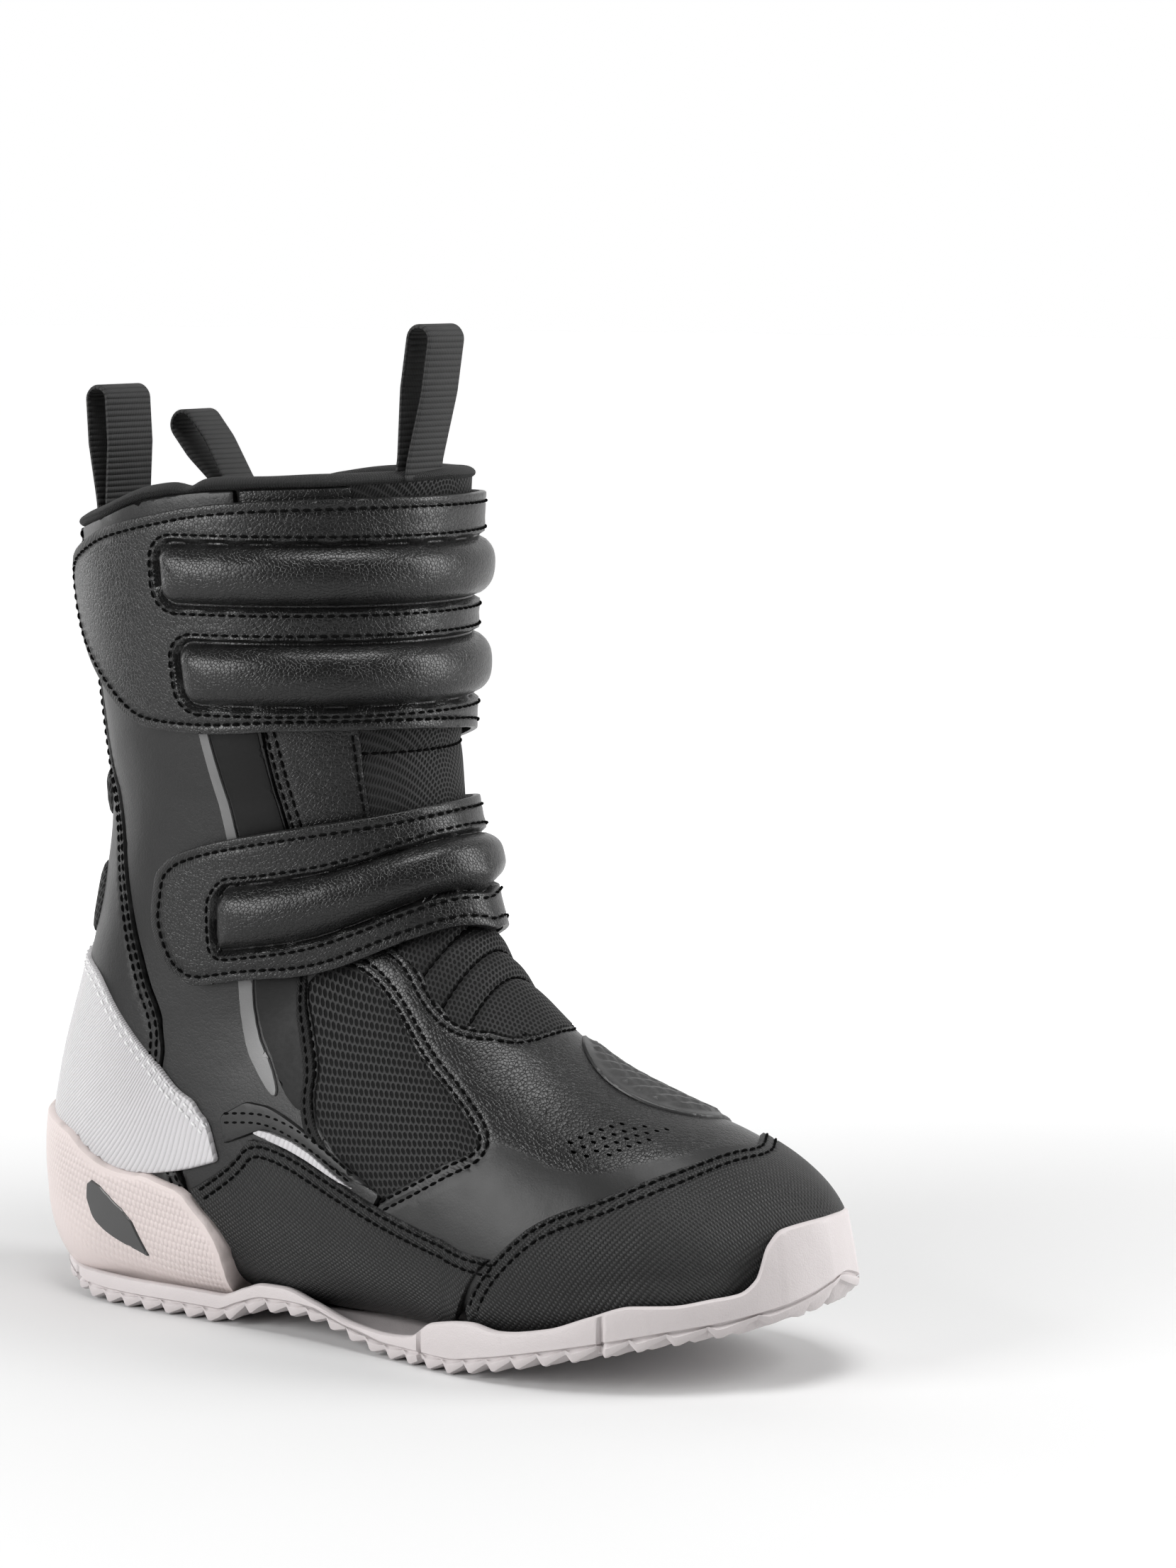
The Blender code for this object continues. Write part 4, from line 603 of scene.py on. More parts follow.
# ================================================================= looks
class Look:
    """A material and the nodes that feed its shader."""

    def __init__(self, name, **settings):
        self.material = bpy.data.materials.new(name)
        self.material.use_nodes = True
        self.tree = self.material.node_tree
        self.shader = self.tree.nodes["Principled BSDF"]
        for socket, value in settings.items():
            self.plug(self.shader.inputs[socket.replace("_", " ")], value)

    def plug(self, socket, value):
        if isinstance(value, bpy.types.NodeSocket):
            self.tree.links.new(value, socket)
        elif hasattr(socket.default_value, "__len__") and len(socket.default_value) == 4:
            socket.default_value = (*value, 1.0)
        else:
            socket.default_value = value

    def node(self, kind, inputs=(), output=0, **settings):
        made = self.tree.nodes.new(kind)
        for key, value in settings.items():
            setattr(made, key, value)
        for socket, value in dict(inputs).items():
            self.plug(made.inputs[socket], value)
        return made.outputs[output]

    def math(self, operation, first, second=0.0):
        return self.node("ShaderNodeMath", {0: first, 1: second}, operation=operation)

    def place(self):
        return self.node("ShaderNodeTexCoord", output="Object")

    def spread(self):
        """Distances round and along the surface, in millimetres."""
        flat = self.node("ShaderNodeUVMap", uv_map="spread")
        apart = self.tree.nodes.new("ShaderNodeSeparateXYZ")
        self.plug(apart.inputs[0], flat)
        return apart.outputs[0], apart.outputs[1]

    def noise(self, scale, detail=2.0, vector=None):
        inputs = {"Vector": vector or self.place(), "Scale": scale, "Detail": detail}
        return self.node("ShaderNodeTexNoise", inputs)

    def cells(self, scale, feature="DISTANCE_TO_EDGE", vector=None):
        inputs = {"Vector": vector or self.place(), "Scale": scale}
        return self.node("ShaderNodeTexVoronoi", inputs, output="Distance", feature=feature)

    def wave(self, along, pitch, shift=0.0):
        """A smooth row of ridges, 0 to 1, across the distance along."""
        angle = self.math("MULTIPLY_ADD", along, math.pi / pitch)
        self.plug(angle.node.inputs[2], shift)
        return self.math("ABSOLUTE", self.math("SINE", angle))

    def step(self, value, low, high):
        """0 below low, 1 over high, smooth between them."""
        return self.node("ShaderNodeMapRange", {"Value": value, "From Min": low, "From Max": high},
                         interpolation_type="SMOOTHSTEP")

    def attribute(self, name):
        return self.node("ShaderNodeAttribute", output="Fac", attribute_name=name)

    def mix(self, factor, first, second):
        made = self.tree.nodes.new("ShaderNodeMix")
        made.data_type = "RGBA"
        self.plug(made.inputs["Factor"], factor)
        self.plug(made.inputs[6], first)
        self.plug(made.inputs[7], second)
        return made.outputs[2]

    def blend(self, factor, first, second):
        """A number between two, by factor."""
        return self.node("ShaderNodeMix", {0: factor, 2: first, 3: second})

    def bump(self, height, distance, normal=None):
        inputs = {"Height": height, "Distance": distance * MM}
        if normal:
            inputs["Normal"] = normal
        return self.node("ShaderNodeBump", inputs)

    def wear(self, colour, worn, width=1.2):
        """The colour, lighter in patches along a panel's cut edges."""
        edge = self.step(self.attribute("rim"), width, 0.1)
        patchy = self.step(self.noise(140.0, 3.0), 0.45, 0.7)
        return self.mix(self.math("MULTIPLY", edge, patchy), colour, worn)

    def finish(self, colour, roughness, normal):
        self.plug(self.shader.inputs["Base Color"], colour)
        self.plug(self.shader.inputs["Roughness"], roughness)
        self.plug(self.shader.inputs["Normal"], normal)
        return self.material


def warped(look, amount):
    """The position, pushed about a little so that cells lose their straight sides."""
    push = look.node("ShaderNodeTexNoise", {"Vector": look.place(), "Scale": 420.0}, output="Color")
    return look.node("ShaderNodeVectorMath", {0: push, 1: (amount * MM,) * 3, 2: look.place()},
                     operation="MULTIPLY_ADD")


def woven(look, across, pitch):
    """Raised stubs in offset rows, as on embossed microfibre."""
    around, along = look.spread()
    row = look.math("FLOOR", look.math("DIVIDE", around, pitch))
    shift = look.math("MULTIPLY", row, math.pi / 2)
    return look.math("MULTIPLY", look.wave(around, pitch), look.wave(along, across, shift))


def hex_holes(look, pitch):
    """Distance in millimetres to the middle of the nearest hole of a honeycomb."""
    around, along = look.spread()
    near = []
    for shift in (0.0, 0.5):
        sides = []
        for value, size in ((around, pitch), (along, pitch * math.sqrt(3))):
            turned = look.math("FRACT", look.math("ADD", look.math("DIVIDE", value, size), shift))
            off = look.math("MULTIPLY", look.math("SUBTRACT", turned, 0.5), size)
            sides.append(look.math("MULTIPLY", off, off))
        near.append(look.math("SQRT", look.math("ADD", *sides)))
    return look.math("MINIMUM", *near)


def leather_look(name, dark, light, rough, patch=None):
    """Pebbled leather; where the patch attribute is 1 it is smooth or woven instead."""
    look = Look(name, Specular_IOR_Level=0.4)
    spot = warped(look, 0.9)
    crease = look.step(look.cells(1000 / GRAIN, vector=spot), 0.0, 0.12)
    middle = look.cells(1000 / GRAIN, "F1", spot)
    dome = look.math("SUBTRACT", 1.0, look.math("MULTIPLY", middle, middle))
    pebbles = look.math("ADD", look.math("MULTIPLY", crease, 0.35), look.math("MULTIPLY", dome, 0.65))
    flat = look.noise(1500.0, 4.0)
    other = woven(look, 1.5, 1.1) if patch == "woven" else look.math("MULTIPLY", flat, 0.35)
    part = look.attribute("patch")
    height = look.blend(part, pebbles, other)
    broad = look.bump(look.noise(45.0, 3.0), 0.45)
    normal = look.bump(height, 0.14, broad)
    tone = look.mix(look.noise(28.0, 4.0), dark, light)
    # Painted shade: the colour darkens towards near black where the grain lies low, in its creases and
    # hollows.
    painted_groove_shade = look.mix(look.math("MULTIPLY", look.math("SUBTRACT", 1.0, height), 0.45), tone, (0.003,) * 3)
    uneven = look.math("MULTIPLY", look.noise(70.0, 3.0), 0.12)
    roughness = look.math("ADD", uneven, look.blend(part, rough, rough + 0.12))
    return look.finish(look.wear(painted_groove_shade, [c * 2.0 for c in light]), roughness, normal)


def embossed_look(name, dark, light):
    """Microfibre with a woven emboss, for the toe cap and the rands."""
    look = Look(name, Specular_IOR_Level=0.4)
    height = woven(look, 1.5, 1.1)
    normal = look.bump(height, 0.32, look.bump(look.noise(60.0, 3.0), 0.4))
    tone = look.mix(look.noise(25.0, 4.0), dark, light)
    # Painted shade: the weave's low parts are coloured darker, as shade in its hollows.
    painted_groove_shade = look.mix(look.step(height, 0.0, 0.6), [c * 0.35 for c in dark], tone)
    roughness = look.math("ADD", look.math("MULTIPLY", look.noise(90.0), 0.2), 0.42)
    return look.finish(look.wear(painted_groove_shade, (0.035,) * 3), roughness, normal)


def mesh_look(name, pitch, thread, foam_and_hole_shade):
    """Open air mesh: a honeycomb of thread over dark foam; the holes are painted near black, the foam's
    own dark colour and painted shade in them.
    """
    look = Look(name, Specular_IOR_Level=0.35)
    near = hex_holes(look, pitch)
    ring = look.step(near, pitch * 0.26, pitch * 0.42)
    normal = look.bump(ring, 0.35, look.bump(look.noise(2500.0), 0.08))
    # The holes take the foam's dark colour together with painted shade, since they have no depth of their
    # own.
    colour = look.mix(ring, foam_and_hole_shade, look.mix(look.noise(900.0), thread, [c * 0.6 for c in thread]))
    return look.finish(colour, look.blend(ring, 0.95, 0.6), normal)


def webbing_look(name, dark, light, rib=2.0, ridge=0.35):
    """Ribbed woven tape; ribs run across its length."""
    look = Look(name)
    along, across = look.spread()
    ribs = look.wave(along, rib)
    threads = look.wave(across, 0.55, look.math("MULTIPLY", ribs, 0.8))
    height = look.math("ADD", ribs, look.math("MULTIPLY", threads, 0.25))
    normal = look.bump(height, ridge)
    tone = look.mix(look.noise(300.0, 3.0), dark, light)
    # Painted shade: the grooves between the ribs are coloured darker.
    painted_groove_shade = look.mix(look.step(ribs, 0.05, 0.6), [c * 0.2 for c in dark], tone)
    return look.finish(painted_groove_shade, 0.72, normal)


def rubber_look(name, dark, light, rough=0.5, speck=0.12):
    """Moulded rubber with a fine spark-eroded texture and faint dust."""
    look = Look(name)
    grain = look.noise(1800.0, 4.0)
    normal = look.bump(grain, speck, look.bump(look.noise(120.0, 3.0), 0.25))
    tone = look.mix(look.noise(22.0, 5.0), dark, light)
    dust = look.step(look.noise(170.0, 6.0), 0.62, 0.8)
    tone = look.mix(look.math("MULTIPLY", dust, 0.25), tone, [c * 0.72 for c in dark])
    roughness = look.math("ADD", look.math("MULTIPLY", look.noise(200.0, 3.0), 0.2), rough - 0.1)
    return look.finish(tone, roughness, normal)


def ribbed_look(name, dark, light, pitch):
    """Pale microfibre with fine slanting ribs."""
    look = Look(name)
    around, along = look.spread()
    slanted = look.math("ADD", along, look.math("MULTIPLY", around, 0.35))
    ribs = look.wave(slanted, pitch)
    normal = look.bump(ribs, 0.22, look.bump(look.noise(900.0, 4.0), 0.06))
    tone = look.mix(look.noise(30.0, 4.0), dark, light)
    # Painted shade: the grooves between the slanting ribs are coloured darker.
    painted_groove_shade = look.mix(look.step(ribs, 0.0, 0.35), [c * 0.82 for c in dark], tone)
    return look.finish(look.wear(painted_groove_shade, [c * 0.8 for c in dark]), 0.5, normal)


def scaled_look(name, dark, light):
    """Pale moulded shell whose patch carries small scales."""
    look = Look(name)
    near = hex_holes(look, 2.2)
    scales = look.math("MULTIPLY", look.step(near, 1.25, 0.3), look.attribute("patch"))
    normal = look.bump(scales, 0.3, look.bump(look.noise(1400.0, 4.0), 0.05))
    tone = look.mix(look.noise(24.0, 4.0), dark, light)
    return look.finish(look.wear(tone, [c * 0.85 for c in dark]), 0.46, normal)


def cloth_look(name, dark, light, pitch=0.8, depth=0.25):
    """Plain-woven or knit cloth."""
    look = Look(name)
    around, along = look.spread()
    weave = look.math("MULTIPLY", look.wave(around, pitch), look.wave(along, pitch, around))
    normal = look.bump(weave, depth, look.bump(look.noise(800.0, 3.0), 0.1))
    tone = look.mix(look.noise(120.0, 4.0), dark, light)
    # Painted shade: the low spots between the threads are coloured darker.
    painted_groove_shade = look.mix(look.step(weave, 0.0, 0.5), [c * 0.3 for c in dark], tone)
    return look.finish(painted_groove_shade, 0.85, normal)


def rough_look(name, dark, light, scale, depth, rough, metallic=0.0, gloss=0.5):
    """A finish whose grain is plain noise: foam, board, hook tape, thread and lacquered metal."""
    look = Look(name, Metallic=metallic, Specular_IOR_Level=gloss)
    grain = look.noise(scale, 5.0)
    tone = look.mix(look.noise(scale / 12, 3.0), dark, light)
    roughness = look.math("ADD", look.math("MULTIPLY", grain, 0.2), rough - 0.1)
    return look.finish(tone, roughness, look.bump(grain, depth))


# ================================================================= meshes
def new_object(name, points, faces, look, spread=None, rim=None, patch=None, sharp=45, weld=False):
    """A mesh object from points in millimetres, with what the materials read from each point."""
    points = in_frame(points)
    mesh = bpy.data.meshes.new(name)
    mesh.from_pydata(points.tolist(), [], [tuple(int(k) for k in f) for f in faces])
    for key, values in (("rim", rim), ("patch", patch)):
        layer = mesh.attributes.new(key, "FLOAT", "POINT")
        full = np.zeros(len(points)) if values is None else np.asarray(values, float)
        layer.data.foreach_set("value", full)
    if spread is not None:
        corners = np.zeros(len(mesh.loops), int)
        mesh.loops.foreach_get("vertex_index", corners)
        layer = mesh.uv_layers.new(name="spread")
        layer.data.foreach_set("uv", np.asarray(spread, float)[corners].ravel())
    shape = bmesh.new()
    shape.from_mesh(mesh)
    if weld:
        bmesh.ops.remove_doubles(shape, verts=shape.verts, dist=WELD * MM)
    bmesh.ops.recalc_face_normals(shape, faces=shape.faces)
    shape.to_mesh(mesh)
    shape.free()
    mesh.shade_smooth()
    mesh.set_sharp_from_angle(angle=math.radians(sharp))
    mesh.materials.append(look)
    made = bpy.data.objects.new(name, mesh)
    bpy.context.collection.objects.link(made)
    return made


def crisp(line):
    """The closed outline with points set close to each sharp corner, so that rounding keeps it small."""
    scale = np.array(PLANE)
    kept = []
    for before, here, ahead in zip(np.roll(line, 1, axis=0), line, np.roll(line, -1, axis=0)):
        back, on = (before - here) * scale, (ahead - here) * scale
        far = np.linalg.norm(back), np.linalg.norm(on)
        cosine = -(back @ on) / (far[0] * far[1] + 1e-9)
        if cosine < CORNER_COSINE and min(far) > 1.5 * CORNER_REACH:
            kept += [here + (before - here) * CORNER_REACH / far[0], here,
                     here + (ahead - here) * CORNER_REACH / far[1]]
        else:
            kept.append(here)
    return np.array(kept)


def rounded(points, closed=True, times=2):
    """The outline with its corners cut so many times; an open one keeps its ends."""
    line = np.array(points, float)
    if closed:
        line = crisp(line)
    for _ in range(times):
        ahead = np.roll(line, -1, axis=0) if closed else line[1:]
        start = line if closed else line[:-1]
        cut = np.stack([start * 0.75 + ahead * 0.25, start * 0.25 + ahead * 0.75], 1).reshape(-1, 2)
        line = cut if closed else np.vstack([line[:1], cut[1:-1], line[-1:]])
    return line


def resampled(curve, step, place):
    """Points of an open (v, u) curve spaced evenly in millimetres."""
    fine = [np.linspace(a, b, 12, endpoint=False) for a, b in zip(curve, curve[1:])]
    fine = np.vstack(fine + [curve[-1:]])
    run = lengths_along(place(*fine.T))
    even = np.linspace(0, run[-1], max(2, int(round(run[-1] / step)) + 1))
    return np.stack([np.interp(even, run, fine[:, k]) for k in range(2)], 1)


def directions(curve, place, height=0.0):
    """Place, forward, sideways and outward directions at each point of a (v, u) curve."""
    v, u = curve.T
    here = place(v, u, height)
    forward = np.gradient(here, axis=0)
    forward /= np.linalg.norm(forward, axis=1, keepdims=True) + 1e-9
    out = place(v, u, height + 1.0) - here
    out /= np.linalg.norm(out, axis=1, keepdims=True) + 1e-9
    return here, forward, np.cross(out, forward), out


def beside(curve, distance, place):
    """The (v, u) curve moved sideways over the surface; positive is to its left seen from outside."""
    side = directions(curve, place)[2]
    v, u = curve.T
    by_v = (place(v + TINY, u) - place(v - TINY, u)) / (2 * TINY)
    by_u = (place(v, u + TINY) - place(v, u - TINY)) / (2 * TINY)
    vv, uu, vu = (by_v ** 2).sum(1), (by_u ** 2).sum(1), (by_v * by_u).sum(1)
    sv, su = (by_v * side).sum(1) * distance, (by_u * side).sum(1) * distance
    scale = vv * uu - vu * vu + 1e-9
    return curve + np.stack([(uu * sv - vu * su) / scale, (vv * su - vu * sv) / scale], 1)


def rows_beside(curve, *shifts):
    """Rows at sideways shifts from an open (v, u) curve whose corners are rounded first."""
    line = rounded(curve, closed=False)
    return [beside(line, shift, UPPER.at) for shift in shifts]


def distances(points, targets):
    """How far each point is from the nearest target; both are flat, or both solid."""
    points, targets = [np.pad(spots, ((0, 0), (0, 3 - spots.shape[1]))) for spots in (points, targets)]
    tree = KDTree(len(targets))
    for k, target in enumerate(targets):
        tree.insert(target, k)
    tree.balance()
    return np.array([tree.find(point)[2] for point in points])


def swell(points, amount):
    """Slow unevenness of hand-lasted leather."""
    return np.array([noise.noise(Vector(p) / SWELL_SIZE) for p in points]) * amount


def skin(name, outline, low, high, look, body="boot", cell=CELL, gap=0.25, edge=EDGE, relief=None,
         seams=(), holes=(), patch=None, plane=PLANE, place=None, cuts=2, uneven=0.35):
    """A fine sheet of the upper between two heights, with a rounded edge, pressed seams and holes.

    relief(v, u, d) adds to the outer height and patch(v, u, d) fills the patch attribute, where d is
    the distance to the outline.
    """
    place = place or UPPER.at
    scale = np.array(plane)
    loop = inset(sample_edges(rounded(outline, times=cuts), cell, plane), gap)
    extra = [inset(loop, edge * share) for share in (0.35, 1.0)]
    lines = [resampled(seam, cell * 0.8, place) for seam in seams]
    for line in lines:
        extra += [beside(line, shift, place) * scale for shift in (0.0, SEAM_HALF, -SEAM_HALF)]
    turn = np.linspace(0, 2 * math.pi, 8, endpoint=False)
    centres = np.array(holes).reshape(-1, 2) * scale
    for centre in centres:
        extra.append(centre + HOLE * np.stack([np.cos(turn), np.sin(turn)], 1))
    extra = np.vstack(extra)
    extra = extra[inside(extra, loop)]
    inner = lattice(loop, cell)
    inner = inner[distances(inner, extra) > 0.5 * cell]
    flat, triangles = flat_triangles(loop, np.vstack([inner, extra]))
    if len(centres):
        away = distances(np.array([flat[list(t)].mean(axis=0) for t in triangles]), centres)
        triangles = [t for t, far in zip(triangles, away) if far > HOLE * 0.9]
    v, u = (flat / scale).T
    base = place(v, u)
    d = distances(base, place(*(loop / scale).T))
    lift = np.full(len(v), high) - edge * (1 - np.sqrt(1 - (1 - np.minimum(d / edge, 1)) ** 2))
    lift = lift + swell(base, uneven)
    if relief:
        lift = lift + relief(v, u, d)
    for line in lines:
        near = distances(base, place(*line.T))
        lift = lift - SEAM_DEPTH * np.clip(1 - near / SEAM_HALF, 0, 1)
    outer = place(v, u, np.maximum(lift, low + 0.2))
    under = place(v, u, low)
    points, faces = slab(outer, under, triangles)
    spread = UPPER.spread(v, u)
    marks = patch(v, u, d) if patch else np.zeros(len(v))
    made = new_object(name, points, faces, look, np.vstack([spread, spread]), np.r_[d, np.zeros(len(d))],
                      np.r_[marks, np.zeros(len(d))])
    if body:
        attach(made, body)
    return made


def slab(top, bottom, triangles):
    """A closed solid between two sheets of points that share their triangles."""
    count = len(top)
    faces = list(triangles)
    faces += [(a + count, c + count, b + count) for a, b, c in triangles]
    faces += [(b, a, a + count, b + count) for a, b in border_edges(triangles)]
    return np.vstack([top, bottom]), faces


def tube(name, rows, look, spreads, closed_ring=False, sharp=60):
    """A skin of quads through rows of points, each row a closed ring."""
    count = len(rows[0])
    points = np.vstack(rows)
    faces = []
    last = len(rows) if closed_ring else len(rows) - 1
    for row in range(last):
        for k in range(count):
            a, b = row * count + k, row * count + (k + 1) % count
            ahead = (row + 1) % len(rows) * count
            faces.append((a, b, ahead + (k + 1) % count, ahead + k))
    return new_object(name, points, faces, look, np.vstack(spreads), sharp=sharp)


# ================================================================= stitching
def bead():
    """Points and faces of one stitch, lying along X with Z outwards."""
    stops = [(-0.5, 0.35), (-0.3, 0.9), (0.0, 1.0), (0.3, 0.9), (0.5, 0.35)]
    turns = [math.pi * 2 * k / 6 for k in range(6)]
    points = [(STITCH * x, STITCH_RADIUS * wide * math.cos(a),
               STITCH_RADIUS * wide * math.sin(a) + STITCH_RISE * (1 - 4 * x * x) - STITCH_SINK)
              for x, wide in stops for a in turns]
    faces = [(row * 6 + k, row * 6 + (k + 1) % 6, row * 6 + 6 + (k + 1) % 6, row * 6 + 6 + k)
             for row in range(4) for k in range(6)]
    return np.array(points), faces + [tuple(range(6)), tuple(range(29, 23, -1))]


THREADS = {}
FOLDS = {}


def sew(curves, height, group="boot", place=None):
    """Rows of stitches along open (v, u) curves."""
    place = place or UPPER.at
    points, _ = bead()
    for curve in curves:
        line = resampled(np.array(curve, float), STITCH_PITCH, place)
        for centre, x, y, z in zip(*directions(line, place, height)):
            THREADS.setdefault(group, []).append(centre + points @ np.array([x, y, z]))


def build_stitches(looks):
    """One object of stitches for each group; those of a fold are left without a body, the others go with
    the boot.
    """
    _, faces = bead()
    for group, beads in THREADS.items():
        count = len(beads[0])
        every = [tuple(k + count * i for k in face) for i in range(len(beads)) for face in faces]
        made = new_object("stitches_" + group, np.vstack(beads), every, looks.get(group, looks["thread"]),
                          sharp=80)
        if group in FOLDS:
            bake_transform(made)
        else:
            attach(made, "boot")


# ================================================================= sole
def sole_rings():
    """Rings of the sole from the tread's edge, up the side and over the rim into the cup."""
    wall = sole_loop()
    ease = np.clip((np.abs(wall[:, :1]) - SOLE_EASE_FROM) / 8, 0, 1)
    reach = np.arange(-30, 31)
    weight = np.exp(-(reach / SOLE_EASE) ** 2)
    eased = sum(np.roll(wall, k, axis=0) * w for k, w in zip(reach, weight)) / weight.sum()
    wall = wall + (eased - wall) * ease
    x = wall[:, 0]
    tread, rim = knots(TREAD_Z)(x), RIM(x)
    notch = lug_height(wall)
    split = sum(np.exp(-((x - at) / SPLIT_WIDTH) ** 4) for at in SPLITS) * SPLIT_DEPTH
    facet = TOE_FACET * np.abs(np.sin(wall[:, 1] / 5.5)) * np.clip((x - 118) / 10, 0, 1)
    low = tread + notch
    levels = [
        (2.4, low, 0.6), (0.6, low + 0.7, 1.0), (0.15, low + 1.8, 1.0),
        (0.1, tread + 0.55 * notch + 3.4, 1.0), (1.0, tread + 4.6, 1.0), (1.0, tread + 5.0, 1.0),
        (0.0, tread + 5.6, 1.0), (0.0, tread * 0.5 + rim * 0.5 + 1.0, 0.9), (0.0, rim - 1.6, 0.5),
        (0.25, rim - 0.6, 0.0), (0.9, rim - 0.1, 0.0), (1.8, rim, 0.0), (2.8, rim - 0.2, 0.0),
        (RIM_WIDTH, rim - 0.9, 0.0), (RIM_WIDTH + 0.2, np.minimum(knots(PLATE_Z)(x), rim - 1.2), 0.0)]
    rings = []
    toe = np.clip((x - 126) / 18, 0, 1)
    for inward, height, share in levels:
        lean = TOE_LEAN * toe * np.clip((height - 30) / 26, 0, 1) ** 1.2
        inner = inset(wall, 1.0) - wall
        moved = inset(wall, inward) + inner * ((split + facet) * share + lean)[:, None]
        rings.append(np.column_stack([moved, height]))
    return rings


def lug_height(spots):
    """How far the lugs' slanted faces rise over the tread's lowest line."""
    run = (spots[:, 0] + LUG_SKEW * np.abs(spots[:, 1])) / LUG_PITCH
    phase = run - np.floor(run)
    return LUG_DEPTH * np.clip(np.where(phase < 0.78, phase / 0.78 - 0.18, (1 - phase) / 0.22), 0, 1)


def build_outsole(looks):
    rings = sole_rings()
    count = len(rings[0])
    points = list(np.vstack(rings))
    faces = []
    for ring in range(len(rings) - 1):
        for k in range(count):
            a, b = ring * count + k, ring * count + (k + 1) % count
            faces.append((a, b, b + count, a + count))
    bottom, top = rings[0], rings[-1]
    for ring, loop, cell in ((0, bottom[:, :2], 2.2), (len(rings) - 1, top[:, :2], 12.0)):
        flat, triangles = flat_triangles(loop, lattice(loop, cell))
        if ring == 0:
            groove = np.clip(1 - np.abs(flat[:, 1] - 2.0) / 3.0, 0, 1) * LUG_DEPTH
            height = knots(TREAD_Z)(flat[:, 0]) + np.maximum(lug_height(flat), groove)
        else:
            height = knots(PLATE_Z)(flat[:, 0])
        lifted = np.column_stack([flat, height])
        lifted[:count] = rings[ring]
        start = len(points)
        points += list(lifted)
        faces += [tuple(k + start for k in triangle) for triangle in triangles]
    sole = new_object("sole", points, faces, looks["sole"], sharp=34, weld=True)
    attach(sole, "boot")
    stands_for(sole, "pale_rubber", "outsole")


# ================================================================= upper
def margin(side, v_from, v_to, count=12):
    return [(float(v), side * LASTING_TURN) for v in np.linspace(v_from, v_to, count)]


def build_base(looks):
    """The dark layer under every panel, and the lining sock with its quilted shaft."""
    turns = np.linspace(-1, 1, 120, endpoint=False)
    stations = np.r_[np.linspace(0.12, 1, 22), np.linspace(1.04, 2, 36), np.linspace(2.06, 2.92, 16)]
    target = COLLAR(np.abs(turns)) - BELOW_COLLAR
    lines = [v + max(0.0, (v - 2.3) / 0.62) * (target - 2.92) for v in stations]
    made = []
    for name, depth, look, quilt in (("upper_backing", BASE_DEPTH, "backing", 0.0),
                                     ("lining", LINING_DEPTH, "lining", 0.8)):
        rows = [UPPER.at(line, turns, depth + quilt * np.abs(np.sin(line * 14))
                         * np.clip((line - 1.9) * 3, 0, 1)) for line in lines]
        piece = tube(name, rows, looks[look], [UPPER.spread(line, turns) for line in lines])
        thick = piece.modifiers.new("thickness", "SOLIDIFY")
        thick.thickness = BASE_THICK * MM
        thick.offset = -1.0
        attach(piece, "boot")
        made.append(piece)
    backing, lining = made
    stands_for(lining, "grey_lining", "bootie")


def build_collar(looks):
    """The soft rolled edge round the top, with a dip where its two halves meet."""
    turns = np.linspace(-1, 1, 240, endpoint=False)
    angles = np.linspace(0, 2 * math.pi, 20, endpoint=False)
    top = COLLAR(np.abs(turns))
    dip = np.exp(-((turns - COLLAR_NOTCH) / 0.022) ** 2)
    puff = 1 + 0.08 * np.sin(turns * 34) * np.cos(turns * 9)
    rows = []
    spreads = []
    for angle in angles:
        rise = 0.002 + COLLAR_ROLL[0] * np.sin(angle) * (1 - 0.35 * dip) * puff - 0.012 * dip
        depth = COLLAR_DEPTH + COLLAR_ROLL[1] * np.cos(angle)
        line = top + rise
        ring = UPPER.at(np.minimum(line, 3.0), turns, depth - 0.8 * dip)
        ring[:, 2] += np.maximum(line - 3.0, 0.0) * (COLLAR_Z - PIVOT_Z)
        rows.append(ring)
        around = UPPER.spread(np.minimum(top, 3.0), turns)
        spreads.append(around + [0.0, angle * 3.2])
    collar = tube("collar", rows, looks["collar"], spreads, closed_ring=True)
    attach(collar, "boot")
    stands_for(collar, "black_webbing", "collar_binding")


def vamp_outline():
    return (MESH_TOP + MESH_LOW[1:3] + SIDE_SPLIT + margin(-1, 1.12, 0.1) + [(0.06, -0.7), (0.06, 0.7)]
            + margin(1, 0.1, 1.35) + GUSSET_EDGE + backwards(TONGUE_INNER[:4])
            + backwards(TONGUE_OUTER[3:]) + [FACING_FOOT])


def within(v, u, outline, plane=PLANE):
    """1 inside the (v, u) outline and 0 outside it, eased over a few millimetres."""
    scale = np.array(plane)
    spots = np.stack([v, u], 1) * scale
    loop = sample_edges(rounded(outline), 3.0, plane)
    away = distances(spots, loop)
    return np.clip(0.5 + np.where(inside(spots, loop), away, -away) / 3.0, 0, 1)


def perforations(corners):
    """Hole centres in offset rows that fill the (v, u) outline."""
    loop = sample_edges(corners, 3.0)
    low, high = loop.min(axis=0), loop.max(axis=0)
    spots = []
    for k, y in enumerate(np.arange(low[1], high[1], HOLE_PITCH * 0.8)):
        spots += [(x, y) for x in np.arange(low[0] + HOLE_PITCH * 0.5 * (k % 2), high[0], HOLE_PITCH)]
    spots = np.array(spots)
    return spots[inside(spots, loop)] / np.array(PLANE)


def quilted(v, u, _):
    """Rolls of the tongue between its sewn channels, strongest over the instep."""
    channels = np.array(TONGUE_CHANNELS)
    near = np.abs(v[:, None] - channels[None]).min(axis=1) * 100
    roll = 1 - np.exp(-near / 3.0)
    depth = np.where(v < 1.4, 1.9, 0.9)
    return depth * roll


